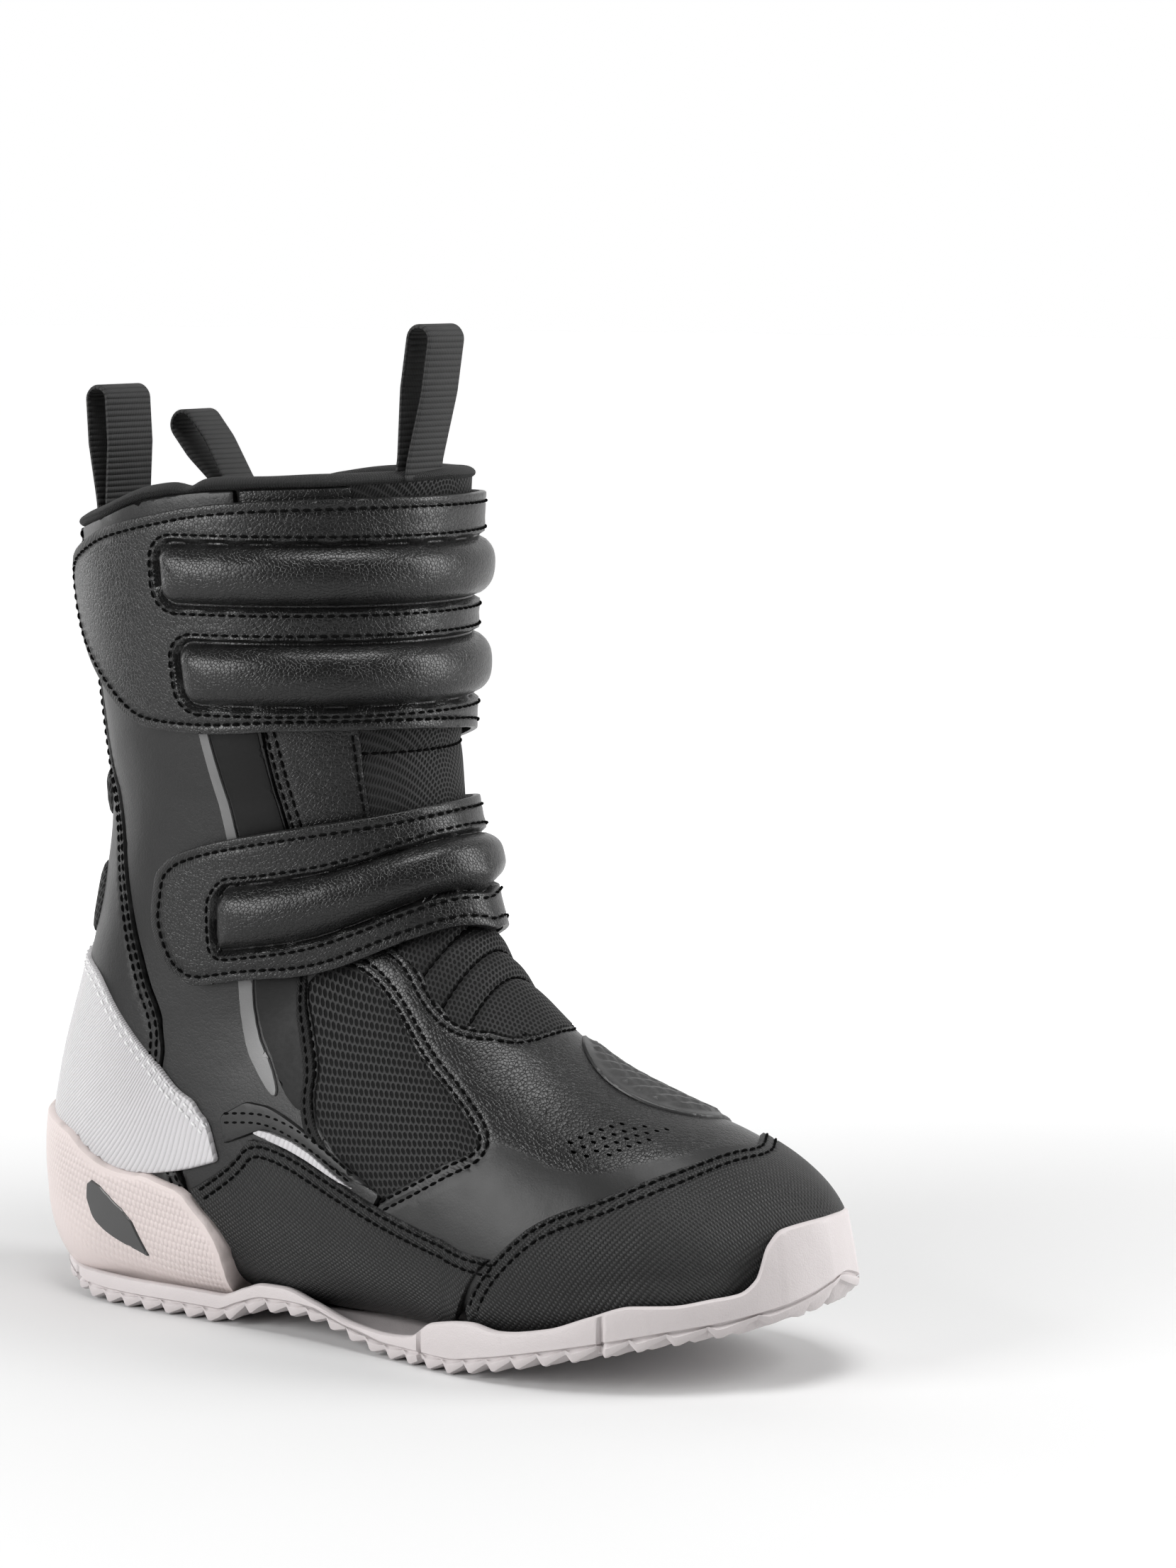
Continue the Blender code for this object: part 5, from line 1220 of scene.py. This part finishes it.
def ridged(v, u, d):
    """Raised bars across the shift pad."""
    around, along = UPPER.spread(v, u).T
    run = (along + 0.5 * around) / RIDGE_PITCH
    bar = np.abs(run - np.floor(run) - 0.5) * 2
    return 1.1 * np.clip((bar - 0.3) * 3, 0, 1) * np.clip((d - 3.5) / 1.5, 0, 1) - 0.4


def build_tongue(looks):
    rows = [[(v, -0.19), (v, 0.21)] for v in TONGUE_CHANNELS]
    outline = TONGUE_OUTER + TONGUE_INNER + top_line(0.22, -0.185, count=4)
    gaiter = skin("tongue_gaiter", outline, PANEL_BASE, -0.9, looks["mesh"], relief=quilted, gap=-1.5,
                  seams=[np.array(row) for row in rows])
    sew(rows, -1.0)
    stands_for(gaiter, "black_mesh", "tongue_gaiter")


def build_vamp(looks):
    seam = [FACING_FOOT] + TONGUE_OUTER[3:] + TONGUE_INNER[:4] + GUSSET_EDGE[-1:]
    rows = rows_beside(MESH_TOP + MESH_LOW[1:4], 1.8, 4.6) + rows_beside(seam, -1.8, -4.4)
    vamp = skin("vamp", vamp_outline(), PANEL_BASE, 0.25, looks["leather"], plane=EDGE_PLANE, seams=rows,
                holes=np.vstack([perforations(OUTER_HOLES), perforations(INNER_HOLES)]),
                patch=lambda v, u, d: within(v, u, VAMP_SIDE))
    sew(rows, 0.1)
    stands_for(vamp, "black_microfibre", "vamp", "vamp_side_outer", "vamp_side_inner")


def build_sides(looks):
    """The facings, the outer side's mesh window and the shaft's quarters."""
    leather = looks["leather"]
    rows = rows_beside(TONGUE_OUTER[:3], -2.4) + rows_beside(FACING_EDGE, 1.8, 4.6)
    outline = top_line(-0.185, -0.375, count=3) + FACING_EDGE + [FACING_FOOT] + backwards(TONGUE_OUTER[:3])
    facing = skin("facing_outer", outline, PANEL_BASE, 0.5, leather, seams=rows)
    sew(rows, 0.3)
    mesh_panel = skin("mesh_panel_outer", MESH_TOP + MESH_LOW[1:], PANEL_BASE, -0.7, looks["side_mesh"],
                      gap=-1.2)
    rows = rows_beside(backwards(MESH_LOW[5:]), -1.8)
    outline = (top_line(-0.38, -0.81) + HEEL_EDGE + backwards(SIDE_SPLIT) + MESH_LOW[4:]
               + backwards(FACING_EDGE))
    quarter = skin("quarter_outer", outline, PANEL_BASE, 0.0, leather, seams=rows, patch=mostly_smooth)
    sew(rows, -0.1)
    outline = top_line(0.67, 0.81, count=3) + mirrored(HEEL_EDGE[:-2]) + [(1.42, 0.56)] + ZIP_BACK
    quarter_in = skin("quarter_inner", outline, PANEL_BASE, 0.0, leather, patch=mostly_smooth)
    outline = top_line(0.225, 0.56) + ZIP_FRONT[:-1] + [(1.47, 0.31), (1.33, 0.24)] + TONGUE_INNER[4:]
    facing_in = skin("facing_inner", outline, PANEL_BASE, 0.3, leather)
    sew(rows_beside(TONGUE_INNER[4:], -2.4), 0.2)
    stands_for(facing, "black_leather", "facing_outer")
    stands_for(mesh_panel, "black_mesh", "mesh_panel_outer")
    stands_for(quarter, "black_leather", "quarter_outer")
    stands_for(quarter_in, "black_leather", "quarter_inner")
    stands_for(facing_in, "black_leather", "facing_inner")


def build_rear(looks):
    """The shaft's back, whose far edge is listed a full turn on."""
    far = round_back(mirrored(HEEL_EDGE))
    rows = (rows_beside([(2.76, -0.812)] + HEEL_EDGE[:-1], -1.8, -4.4)
            + rows_beside([(2.76, 0.812)] + mirrored(HEEL_EDGE[:-1]), 1.8, 4.4))
    back = skin("rear_panel", top_line(-1.18, -0.82) + HEEL_EDGE + HEEL_UNDER + backwards(far), PANEL_BASE,
                0.7, looks["leather"], plane=HEEL_PLANE, patch=mostly_smooth,
                seams=[row if row[:, 1].mean() < 0 else row - [0, 2] for row in rows])
    sew(rows, 0.5)
    stands_for(back, "black_leather", "rear_panel")


def tucked(v_start, v_end, side, count, height=1.8):
    """Points just below the sole's rim, which hides the edge that runs through them."""
    line = []
    for v in np.linspace(v_start, v_end, count):
        turns = np.linspace(0.3, 0.97, 120)
        points = UPPER.at(v, side * turns, height)
        below = np.nonzero(points[:, 2] < RIM(points[:, 0]) - 1.5)[0]
        line.append((float(v), side * float(turns[below[0]] if len(below) else turns[-1])))
    return line


def seated(amount, reach):
    """Relief that swells a piece outwards just over the sole's rim, so that it sits down on it."""
    def relief(v, u, _):
        spots = UPPER.at(v, u, 2.0)
        over = spots[:, 2] - RIM(spots[:, 0])
        return amount * np.clip(1 - over / reach, 0, 1) ** 1.5 * np.clip((138 - spots[:, 0]) / 10, 0, 1)

    return relief


def build_toe_and_rands(looks):
    """The embossed toe cap and the bands that run back from it over the sole's rim."""
    emboss = looks["emboss"]
    bumper = [(v - 0.05, u * 1.03) for v, u in CAP_BUMPER[1:-1]]
    rows = rows_beside(CAP_SEAM, *EMBOSS_ROWS)
    toe = skin("toe_cap", CAP_SEAM + tucked(0.84, 0.28, 1, 8) + bumper + tucked(0.28, 0.93, -1, 9),
               0.0, 1.9, emboss, plane=EDGE_PLANE, seams=rows, relief=seated(1.6, 9.0))
    outer_rows = rows_beside(RAND_TOP_OUTER, *EMBOSS_ROWS)
    cap_side = [(v + 0.008, u) for v, u in backwards(CAP_SEAM[:3])]
    rand = skin("rand_outer", RAND_TOP_OUTER + cap_side[1:] + tucked(0.98, 1.33, -1, 12)
                + backwards(mirrored(COUNTER_FRONT[:-1])), 0.0, 1.7, emboss, plane=HEEL_PLANE,
                seams=outer_rows, cuts=1, relief=seated(2.4, 12.0))
    inner_rows = rows_beside(RAND_TOP_INNER, *(-shift for shift in EMBOSS_ROWS))
    cap_side = [(v + 0.008, u) for v, u in CAP_SEAM[-3:]]
    rand_in = skin("rand_inner", RAND_TOP_INNER + cap_side + tucked(0.90, 1.33, 1, 13)
                   + backwards(COUNTER_FRONT[:-1]), 0.0, 1.7, emboss, plane=HEEL_PLANE,
                   seams=inner_rows, cuts=1, relief=seated(2.4, 12.0))
    for piece, node in ((toe, "toe_cap"), (rand, "rand_outer"), (rand_in, "rand_inner")):
        stands_for(piece, "black_microfibre", node)
    sew(rows + outer_rows + inner_rows, 1.75)


def build_trims(looks):
    """The side strip, sliver, shift pad, reflective line, side band, mesh binding and flex insets."""
    strip = skin("side_strip", SIDE_STRIP, 0.0, 1.5, looks["leather"], cell=1.4, patch=all_smooth)
    sew(rows_beside(STRIP_SEAM, -1.5, 1.5), 1.35)
    sliver = skin("side_sliver", SIDE_SLIVER, 0.0, 1.0, looks["heel_leather"], cell=1.2, edge=0.4, cuts=1)
    pad = skin("shift_pad", SHIFT_PAD_LINE, 0.2, 1.6, looks["black_rubber"], cell=1.2, relief=ridged,
               uneven=0.0)
    stripe = skin("reflective_strip", REFLECTIVE_LINE, -0.2, 0.95, looks["reflective"], cell=1.6, edge=0.3)
    band = skin("side_band", SIDE_BAND, -0.4, 0.35, looks["band"], edge=0.3)
    binding = skin("mesh_binding", MESH_BINDING, -0.4, 0.9, looks["backing"], edge=0.4, cell=1.4)
    sew([rounded(BINDING_SEAM, closed=False)], 0.95)
    half_high, turn, half_wide = FLEX_SIZE
    for side, name in ((-1, "outer"), (1, "inner")):
        for k, middle in enumerate(FLEX_STATIONS):
            ring = [(middle + half_high * math.cos(a), side * (turn + half_wide * math.sin(a)))
                    for a in np.linspace(0, 2 * math.pi, 20, endpoint=False)]
            inset_piece = skin(f"flex_inset_{name}_{k}", ring, -0.5, 0.6, looks["side_mesh"],
                               relief=pad_crown(2.6, 0.6, 6.0), cell=1.4)
    stands_for(strip, "black_leather", "side_strip")
    stands_for(pad, "black_rubber", "shift_pad")
    stands_for(stripe, "grey_reflective", "reflective_strip")


def build_heel(looks):
    """The moulded shell with its lens, and the pale panel over it."""
    shell_seat = seated(6.5, 26.0)
    top = mirrored(COUNTER_TOP) + round_back(backwards(COUNTER_TOP[:-1]))
    base = (round_back(tucked(1.32, 1.46, 1, 9, 3.6)) + [(1.50, -1.06), (1.505, -1.0), (1.50, -0.94)]
            + tucked(1.46, 1.32, -1, 9, 3.6))
    shell = backwards(mirrored(COUNTER_FRONT)) + top + round_back(COUNTER_FRONT) + base
    counter = skin("heel_counter", shell, 0.4, 4.2, looks["shell"], plane=HEEL_PLANE, edge=1.2, cuts=1,
                   patch=scale_area, relief=shell_seat)
    front = mirrored(HEEL_PANEL_FRONT)
    low = [(v - 0.006, u) for v, u in backwards(top[:-1])]
    heel = skin("heel_panel", front + round_back(backwards(HEEL_PANEL_FRONT[:-1])) + low, 0.0, 2.0,
                looks["heel_leather"], plane=HEEL_PLANE)
    for outline, sign in ((front, 1), (HEEL_PANEL_FRONT, -1)):
        sew(rows_beside(outline[2:-1], sign * 1.8, sign * 4.4), 1.85, "pale")
    badge = skin("heel_badge", BADGE_LINE, 4.0, 4.9, looks["badge"], cell=1.2, edge=0.5, plane=HEEL_PLANE,
                 cuts=1, relief=shell_seat)
    stands_for(counter, "heel_shell", "heel_counter")
    stands_for(heel, "pale_heel_leather", "heel_panel")
    stands_for(badge, "grey_reflective", "heel_badge")


def all_smooth(v, u, d):
    return np.ones(len(v))


def mostly_smooth(v, u, d):
    return np.full(len(v), 0.75)


def scale_area(v, u, d):
    """The scales cover the shell's front and fade towards the back."""
    turn = np.abs(np.where(u < -1, u + 2, u))
    return np.clip((0.86 - turn) / 0.06, 0, 1) * np.clip((d - 1.8) / 1.2, 0, 1)


# ================================================================= straps
def rounded_box(low, high, left, right):
    """A (v, u) rectangle with round corners, listed as one closed outline."""
    rv, ru = WINDOW_CORNER
    outline = []
    for corner, (v, u) in enumerate(((low, left), (high, left), (high, right), (low, right))):
        cv = v + (rv if v == low else -rv)
        cu = u + (ru if u == left else -ru)
        for step in range(5):
            turn = math.radians(180 + 90 * corner + 22.5 * step)
            outline.append((cv + rv * math.cos(turn), cu + ru * math.sin(turn)))
    return outline


def inner_row(outline, distance, place, cuts=2):
    """A closed outline's row of points moved inwards by a distance in millimetres; ends overlap."""
    loop = rounded(outline, times=cuts)
    loop = np.vstack([loop, loop[:1]])
    area = np.sum(loop[:-1, 0] * loop[1:, 1] - loop[1:, 0] * loop[:-1, 1])
    dense = resampled(loop, 2.0, place)
    return beside(dense, -distance * math.copysign(1.0, area), place)


def strap_relief(rings, place, plane, lip=0.4, sink=2.0):
    """The strap has a raised lip round its pads' windows and lies low inside them."""
    scale = np.array(plane)
    fine = np.vstack([resampled(ring, 1.5, place) for ring in rings])
    targets = place(*fine.T)

    def relief(v, u, _):
        away = distances(place(v, u), targets)
        spots = np.stack([v, u], 1) * scale
        within_one = sum(inside(spots, ring[:-1] * scale) for ring in rings) > 0
        outside = lip * np.exp(-((away - 2.6) / 1.4) ** 2) - sink * np.clip(1 - away / 1.3, 0, 1)
        return np.where(within_one, -sink, outside)

    return relief


def pad_crown(top, base, reach=8.0):
    """A stuffed pad's rise from its seam, with puckers that run in from it."""
    def relief(v, u, d):
        around = UPPER.spread(v, u)[:, 0]
        rise = 1 - (1 - np.clip(d / reach, 0, 1)) ** 2.4
        pucker = 0.18 * np.sin(around / 2.6) * np.exp(-d / 3.0) * np.clip(d / 2.0, 0, 1)
        return (top - base) * rise + pucker

    return relief


def stuffed(pad):
    """Swells the pad as cloth under pressure, held where it is sewn down and underneath."""
    rim = np.zeros(len(pad.data.vertices))
    pad.data.attributes["rim"].data.foreach_get("value", rim)
    sewn = pad.vertex_groups.new(name="sewn")
    for held, weight in ((rim < SEWN_BAND, 1.0), (rim >= SEWN_BAND, 0.0)):
        sewn.add(np.nonzero(held)[0].tolist(), weight, "REPLACE")
    before = np.zeros(3 * len(rim))
    pad.data.vertices.foreach_get("co", before)
    cloth = pad.modifiers.new("stuffing", "CLOTH")
    cloth.settings.vertex_group_mass = "sewn"
    cloth.settings.quality = 5
    cloth.settings.mass = STUFFING_MASS
    cloth.settings.use_pressure = True
    cloth.settings.uniform_pressure_force = STUFFING_PRESSURE
    cloth.settings.effector_weights.gravity = 0.0
    cloth.point_cache.frame_start = 1
    cloth.point_cache.frame_end = STUFFING_FRAMES
    for frame_number in range(1, STUFFING_FRAMES + 1):
        bpy.context.scene.frame_set(frame_number)
    shape = pad.evaluated_get(bpy.context.evaluated_depsgraph_get()).data
    after = np.zeros(len(before))
    shape.vertices.foreach_get("co", after)
    moved = (after - before).reshape(-1, 3)
    far = np.linalg.norm(moved, axis=1, keepdims=True)
    moved *= np.minimum(1.0, STUFFING_REACH * MM / np.maximum(far, 1e-9))
    pad.modifiers.remove(cloth)
    pad.data.vertices.foreach_set("co", before + moved.ravel())
    pad.data.update()
    bpy.context.scene.frame_set(1)


def fold_ends(axis_point):
    """The two points between which a strap turns from its sewn base to its flap."""
    reach = np.array([0, FOLD_REACH, 0])
    return in_frame(axis_point + reach), in_frame(axis_point - reach)


def build_strap(name, outline, pads, looks, place, plane, axis_point, end_turn):
    """One strap over its base and flap, its pads and its stitches, with the two end points of its fold
    kept.
    """
    edge_row = inner_row(outline, 3.4, place)
    window_rows = [inner_row(window, -2.6, place, cuts=0) for window, _ in pads.values()]
    rings = [np.array(window + window[:1]) for window, _ in pads.values()]
    strap = skin(name, outline, STRAP[0] - 0.4, STRAP[1] - 0.1, looks["strap"], body=None, cell=1.7,
                 seams=[edge_row] + window_rows + rings, relief=strap_relief(rings, place, plane),
                 plane=plane, place=place, edge=0.6,
                 patch=lambda v, u, d: np.clip((5.5 - d) / 0.8, 0, 1) * (u < end_turn))
    sew([edge_row], STRAP[1] - 0.15, name, place)
    sew(window_rows, STRAP[1] + 0.2, name, place)
    moving = [strap]
    pad_base = STRAP[1] - 1.9
    for pad_name, (window, nodes) in pads.items():
        pad = skin(pad_name, window, STRAP[0] - 0.6, pad_base, looks["pad"], body=None, cell=1.6,
                   relief=pad_crown(PAD_TOP, pad_base, 6.5), plane=plane, place=place, cuts=0,
                   edge=0.5, gap=0.5)
        stuffed(pad)
        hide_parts(*nodes)
        moving.append(pad)
    FOLDS[name] = fold_ends(axis_point)
    for piece in moving:
        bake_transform(piece)
    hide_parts(name + "_flap", name + "_base")


def build_straps(looks):
    """Both straps, and the hook and loop tapes under their free ends."""
    fold = UPPER.at([2.2, 2.88], HINGE_TURN, STRAP[1] + FOLD_RISE).mean(axis=0)
    pads = {name: (rounded_box(*window), (name, name + "_inner"))
            for name, window in UPPER_WINDOWS.items()}
    build_strap("upper_strap", UPPER_STRAP, pads, looks, UPPER.at, PLANE, fold, -0.62)
    fold = across_instep(np.array([1.45, 1.95]), np.full(2, HINGE_TURN - 0.01),
                         STRAP[1] + FOLD_RISE).mean(axis=0)
    window = [tuple(spot) for spot in rounded(LOWER_WINDOW, times=1)]
    pads = {"lower_pad": (window, ("lower_pad", "lower_pad_inner"))}
    build_strap("lower_strap", LOWER_STRAP, pads, looks, across_instep, STRAP_PLANE, fold, -0.5)
    for name, outline, layer, body, place in (
            ("upper_hook_tape", UPPER_HOOK, (1.7, 2.3), "upper_strap", UPPER.at),
            ("lower_hook_tape", LOWER_HOOK, (1.7, 2.3), "lower_strap", across_instep),
            ("upper_loop_tape", UPPER_LOOP_TAPE, (0.4, 1.4), "boot", UPPER.at),
            ("lower_loop_tape", LOWER_LOOP_TAPE, (0.4, 1.4), "boot", UPPER.at)):
        tape = skin(name, outline, *layer, looks["hook"], body=body, cell=3.0, edge=0.2, place=place,
                    uneven=0.1, cuts=1)
        stands_for(tape, "hook_and_loop", name)


# ================================================================= zip, flap and loops
def build_zip(looks):
    """Teeth in two meshing rows; the tapes, slider and puller stay as the frame has them."""
    top, down, side, out, length = zip_frame()
    blocks, faces = [], []
    for k in range(int(length / TOOTH_PITCH) - 1):
        reach = (-2.2, 0.6) if k % 2 else (-0.6, 2.2)
        start = len(blocks)
        blocks += [top + down * (TOOTH_PITCH * (k + 1) + half) + side * across + out * height
                   for half in (-TOOTH_HALF, TOOTH_HALF) for across in reach for height in TEETH_HEIGHT]
        faces += [tuple(start + i for i in face) for face in
                  ((0, 1, 3, 2), (4, 6, 7, 5), (0, 4, 5, 1), (2, 3, 7, 6), (0, 2, 6, 4), (1, 5, 7, 3))]
    teeth = new_object("zip_teeth_rows", blocks, faces, looks["metal"])
    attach(teeth, "boot")
    stands_for(teeth, "dark_metal", "zip_teeth")


def build_zip_flap(looks):
    """The leather flap over the zip, with a rolled rear edge and a sewn front one."""
    front, back, lift = knots(sorted(FLAP_FRONT)), knots(sorted(FLAP_BACK)), knots(FLAP_LIFT)
    stations = np.linspace(*FLAP_ENDS, 110)
    shares = np.linspace(0, 1, 15)
    level = lift(shares) - 0.25 * (shares > 0.97)
    v, share = [grid.ravel() for grid in np.meshgrid(stations, shares, indexing="ij")]
    u = front(v) + share * (back(v) - front(v))
    sheets = [UPPER.at(v, u, np.tile(level + thick, len(stations))) for thick in (FLAP_THICK, 0.0)]
    wide = len(shares)
    triangles = []
    for row in range(len(stations) - 1):
        for k in range(wide - 1):
            a = row * wide + k
            triangles += [(a, a + 1, a + wide), (a + 1, a + wide + 1, a + wide)]
    points, faces = slab(*sheets, triangles)
    spread = UPPER.spread(v, u)
    flap = new_object("zip_flap_leather", points, faces, looks["leather"], np.vstack([spread, spread]))
    hinge_v = np.linspace(*FLAP_ENDS, 25)
    middle = UPPER.at(hinge_v, front(hinge_v) - 0.004, FLAP_FOLD).mean(axis=0)
    side = zip_frame()[2]
    FOLDS["zip_flap"] = in_frame(middle - side), in_frame(middle + side * 3.0)
    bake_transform(flap)
    stands_for(flap, "black_leather", "zip_flap")
    for share, height in ((0.12, 2.6), (0.86, 5.1)):
        row = [(v, front(v) + (back(v) - front(v)) * share) for v in stations[3:-3]]
        sew([row], height + FLAP_THICK, "zip_flap")


def build_loop(name, foot, lean, size, looks):
    """A loop of ribbed webbing with its two ends pressed together at the collar."""
    width, height, gap, thick = size
    half = gap / 2
    straight = height - half
    bends = np.linspace(0, math.pi, 17)
    path = ([(half, z) for z in np.linspace(-LOOP_FOOT, straight, 14, endpoint=False)]
            + [(half * math.cos(a), straight + half * math.sin(a)) for a in bends]
            + [(-half, z) for z in np.linspace(straight, -LOOP_FOOT, 15)[1:]])
    path = np.array(path)
    path[:, 0] *= np.clip(0.55 + 0.45 * path[:, 1] / (0.5 * height), 0.55, 1.0)
    centre = path.mean(axis=0)
    run = lengths_along(path)
    ahead = np.gradient(path, axis=0)
    ahead /= np.linalg.norm(ahead, axis=1, keepdims=True)
    inward = np.stack([-ahead[:, 1], ahead[:, 0]], 1)
    if ((centre - path) * inward).sum() < 0:
        inward = -inward
    turn = np.array(Matrix.Rotation(math.radians(lean), 3, "Y"))
    rows, spreads = [], []
    for spot, into, along in zip(path, inward, run):
        ring = []
        for across, deep in WEBBING_SECTION:
            x, z = spot + into * thick * deep
            ring.append(turn @ np.array([x, across * width, z]) + foot)
        rows.append(np.array(ring))
        spreads.append([(along, across * width) for across, _ in WEBBING_SECTION])
    loop = tube(name + "_webbing", rows, looks["webbing"], spreads, sharp=50)
    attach(loop, name.replace("pull_", ""))
    stands_for(loop, "black_webbing", name)


# ================================================================= studio
def aim(obj, target):
    obj.rotation_euler = (Vector(target) - obj.location).to_track_quat("-Z", "Y").to_euler()


def around(azimuth, elevation, distance, target):
    """A point seen from the target at an azimuth (0 looks along +Y) and elevation in degrees."""
    turn, rise = math.radians(azimuth), math.radians(elevation)
    back = Vector((math.sin(turn) * math.cos(rise), -math.cos(turn) * math.cos(rise), math.sin(rise)))
    return Vector(target) + back * distance


def softbox(name, azimuth, elevation, distance, size, power):
    light = bpy.data.lights.new(name, "AREA")
    light.shape = "RECTANGLE"
    light.size, light.size_y = size
    light.energy = power
    lamp = bpy.data.objects.new(name, light)
    bpy.context.collection.objects.link(lamp)
    lamp.location = around(azimuth, elevation, distance, BOOT_MIDDLE)
    aim(lamp, BOOT_MIDDLE)


def studio_floor():
    """A pale floor that glows behind the boot, where it meets the backdrop, and darkens elsewhere."""
    bpy.ops.mesh.primitive_plane_add(size=30.0)
    floor = bpy.context.object
    floor.name = "floor"
    look = Look("studio_floor")
    far = look.node("ShaderNodeVectorMath", {0: look.place(), 1: BACKDROP}, output="Value",
                    operation="DOT_PRODUCT")
    look.plug(look.shader.inputs["Emission Color"], (1.0, 1.0, 1.0))
    glow = look.math("MULTIPLY", look.step(far, 0.05, 0.9), 0.8)
    look.plug(look.shader.inputs["Emission Strength"], glow)
    away = look.node("ShaderNodeVectorMath", {0: look.place()}, output="Value", operation="LENGTH")
    pale = look.mix(look.noise(3.0), (0.62,) * 3, (0.65,) * 3)
    dim = look.math("MULTIPLY", look.step(away, 0.5, 3.5), look.step(far, 0.5, 0.0))
    colour = look.mix(dim, pale, (0.1,) * 3)
    floor.data.materials.append(look.finish(colour, 0.9, look.bump(look.noise(60.0), 0.05)))


def studio_world():
    """White behind the boot, dim where the softboxes stand."""
    world = bpy.data.worlds.new("studio")
    bpy.context.scene.world = world
    world.use_nodes = True
    tree = world.node_tree
    place = tree.nodes.new("ShaderNodeTexCoord")
    facing = tree.nodes.new("ShaderNodeVectorMath")
    facing.operation = "DOT_PRODUCT"
    facing.inputs[1].default_value = BACKDROP
    tree.links.new(place.outputs["Generated"], facing.inputs[0])
    ease = tree.nodes.new("ShaderNodeMapRange")
    ease.inputs["From Min"].default_value = 0.2
    ease.inputs["From Max"].default_value = 0.8
    ease.inputs["To Min"].default_value = WORLD_LIGHT
    ease.inputs["To Max"].default_value = 1.0
    tree.links.new(facing.outputs["Value"], ease.inputs["Value"])
    tree.links.new(ease.outputs[0], tree.nodes["Background"].inputs["Strength"])
    tree.nodes["Background"].inputs["Color"].default_value = (1, 1, 1, 1)


def build_studio():
    studio_floor()
    studio_world()
    for lamp in SOFTBOXES:
        softbox(*lamp)
    camera = bpy.data.cameras.new("camera")
    camera.lens = LENS
    camera.sensor_width = SENSOR
    eye = bpy.data.objects.new("camera", camera)
    bpy.context.collection.objects.link(eye)
    eye.location = around(*CAMERA_VIEW, CAMERA_TARGET)
    aim(eye, CAMERA_TARGET)
    bpy.context.scene.camera = eye
    bpy.context.scene.view_settings.view_transform = "Standard"


def make_looks():
    return {
        "leather": leather_look("pebbled_leather", (0.006,) * 3, (0.012,) * 3, 0.27),
        "strap": leather_look("strap_leather", (0.006,) * 3, (0.012,) * 3, 0.26, patch="woven"),
        "pad": leather_look("pad_leather", (0.006,) * 3, (0.011,) * 3, 0.24),
        "emboss": embossed_look("embossed_microfibre", (0.008,) * 3, (0.014,) * 3),
        "mesh": mesh_look("tongue_mesh", 1.9, (0.012,) * 3, (0.001,) * 3),
        "side_mesh": mesh_look("side_mesh", 2.4, (0.008,) * 3, (0.001,) * 3),
        "band": rough_look("band_film", (0.002,) * 3, (0.004,) * 3, 700.0, 0.05, 0.5, gloss=0.2),
        "backing": cloth_look("backing_cloth", (0.004,) * 3, (0.01,) * 3),
        "lining": cloth_look("lining_knit", (0.03,) * 3, (0.05,) * 3, 1.1),
        "collar": cloth_look("collar_knit", (0.008,) * 3, (0.016,) * 3, 0.9),
        "webbing": webbing_look("loop_webbing", (0.009,) * 3, (0.018,) * 3),
        "sole": rubber_look("sole_rubber", (0.49, 0.45, 0.45), (0.56, 0.52, 0.52)),
        "black_rubber": rubber_look("shift_pad_rubber", (0.02,) * 3, (0.032,) * 3, 0.42, 0.05),
        "heel_leather": ribbed_look("heel_microfibre", (0.47, 0.46, 0.47), (0.54, 0.53, 0.54), 1.7),
        "shell": scaled_look("heel_shell_plastic", (0.56, 0.492, 0.475), (0.62, 0.545, 0.53)),
        "reflective": rough_look("reflective_film", (0.11,) * 3, (0.14,) * 3, 2400.0, 0.03, 0.35),
        "badge": rough_look("badge_lens", (0.05,) * 3, (0.07,) * 3, 500.0, 0.01, 0.2),
        "metal": rough_look("zip_metal", (0.05,) * 3, (0.09,) * 3, 900.0, 0.03, 0.32, 0.9),
        "hook": rough_look("hook_tape", (0.006,) * 3, (0.02,) * 3, 1500.0, 0.9, 0.9),
        "foam": rough_look("foam", (0.1,) * 3, (0.14,) * 3, 1200.0, 0.3, 0.9),
        "board": rough_look("lasting_board", (0.30, 0.24, 0.17), (0.38, 0.31, 0.22), 500.0, 0.1, 0.8),
        "plastic": rough_look("stiffener_sheet", (0.46, 0.46, 0.44), (0.54, 0.54, 0.52), 700.0, 0.05, 0.5),
        "tape": rough_look("zip_tape", (0.01,) * 3, (0.02,) * 3, 1800.0, 0.25, 0.85),
        "thread": rough_look("thread", (0.003,) * 3, (0.007,) * 3, 3000.0, 0.1, 0.8, gloss=0.0),
        "pale": rough_look("pale_thread", (0.6,) * 3, (0.72,) * 3, 3000.0, 0.1, 0.6),
    }


KEPT_NODES = {
    "shank": "plastic", "toe_stiffener": "plastic", "heel_stiffener": "plastic", "ankle_cup_outer": "foam",
    "ankle_cup_inner": "foam", "footbed": "foam", "lasting_board": "board", "zip_tape_back": "tape",
    "zip_tape_front": "tape", "zip_slider": "metal", "zip_puller": "metal", "zip_gusset": "tape",
}


def build_scene():
    build_studio()
    looks = make_looks()
    build_outsole(looks)
    build_base(looks)
    build_collar(looks)
    build_tongue(looks)
    build_vamp(looks)
    build_sides(looks)
    build_rear(looks)
    build_toe_and_rands(looks)
    build_trims(looks)
    build_heel(looks)
    build_straps(looks)
    build_zip(looks)
    build_zip_flap(looks)
    for name, (v, u), lean, size in PULL_LOOPS:
        build_loop(name, foot_of_loop(v, u), lean, size, looks)
    build_stitches(looks)
    for node, look in KEPT_NODES.items():
        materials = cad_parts[node].data.materials
        materials.clear()
        materials.append(looks[look])


UPPER = Surface()
COLLAR = knots(COLLAR_LINE)
RIM = knots(RIM_Z)
build_scene()
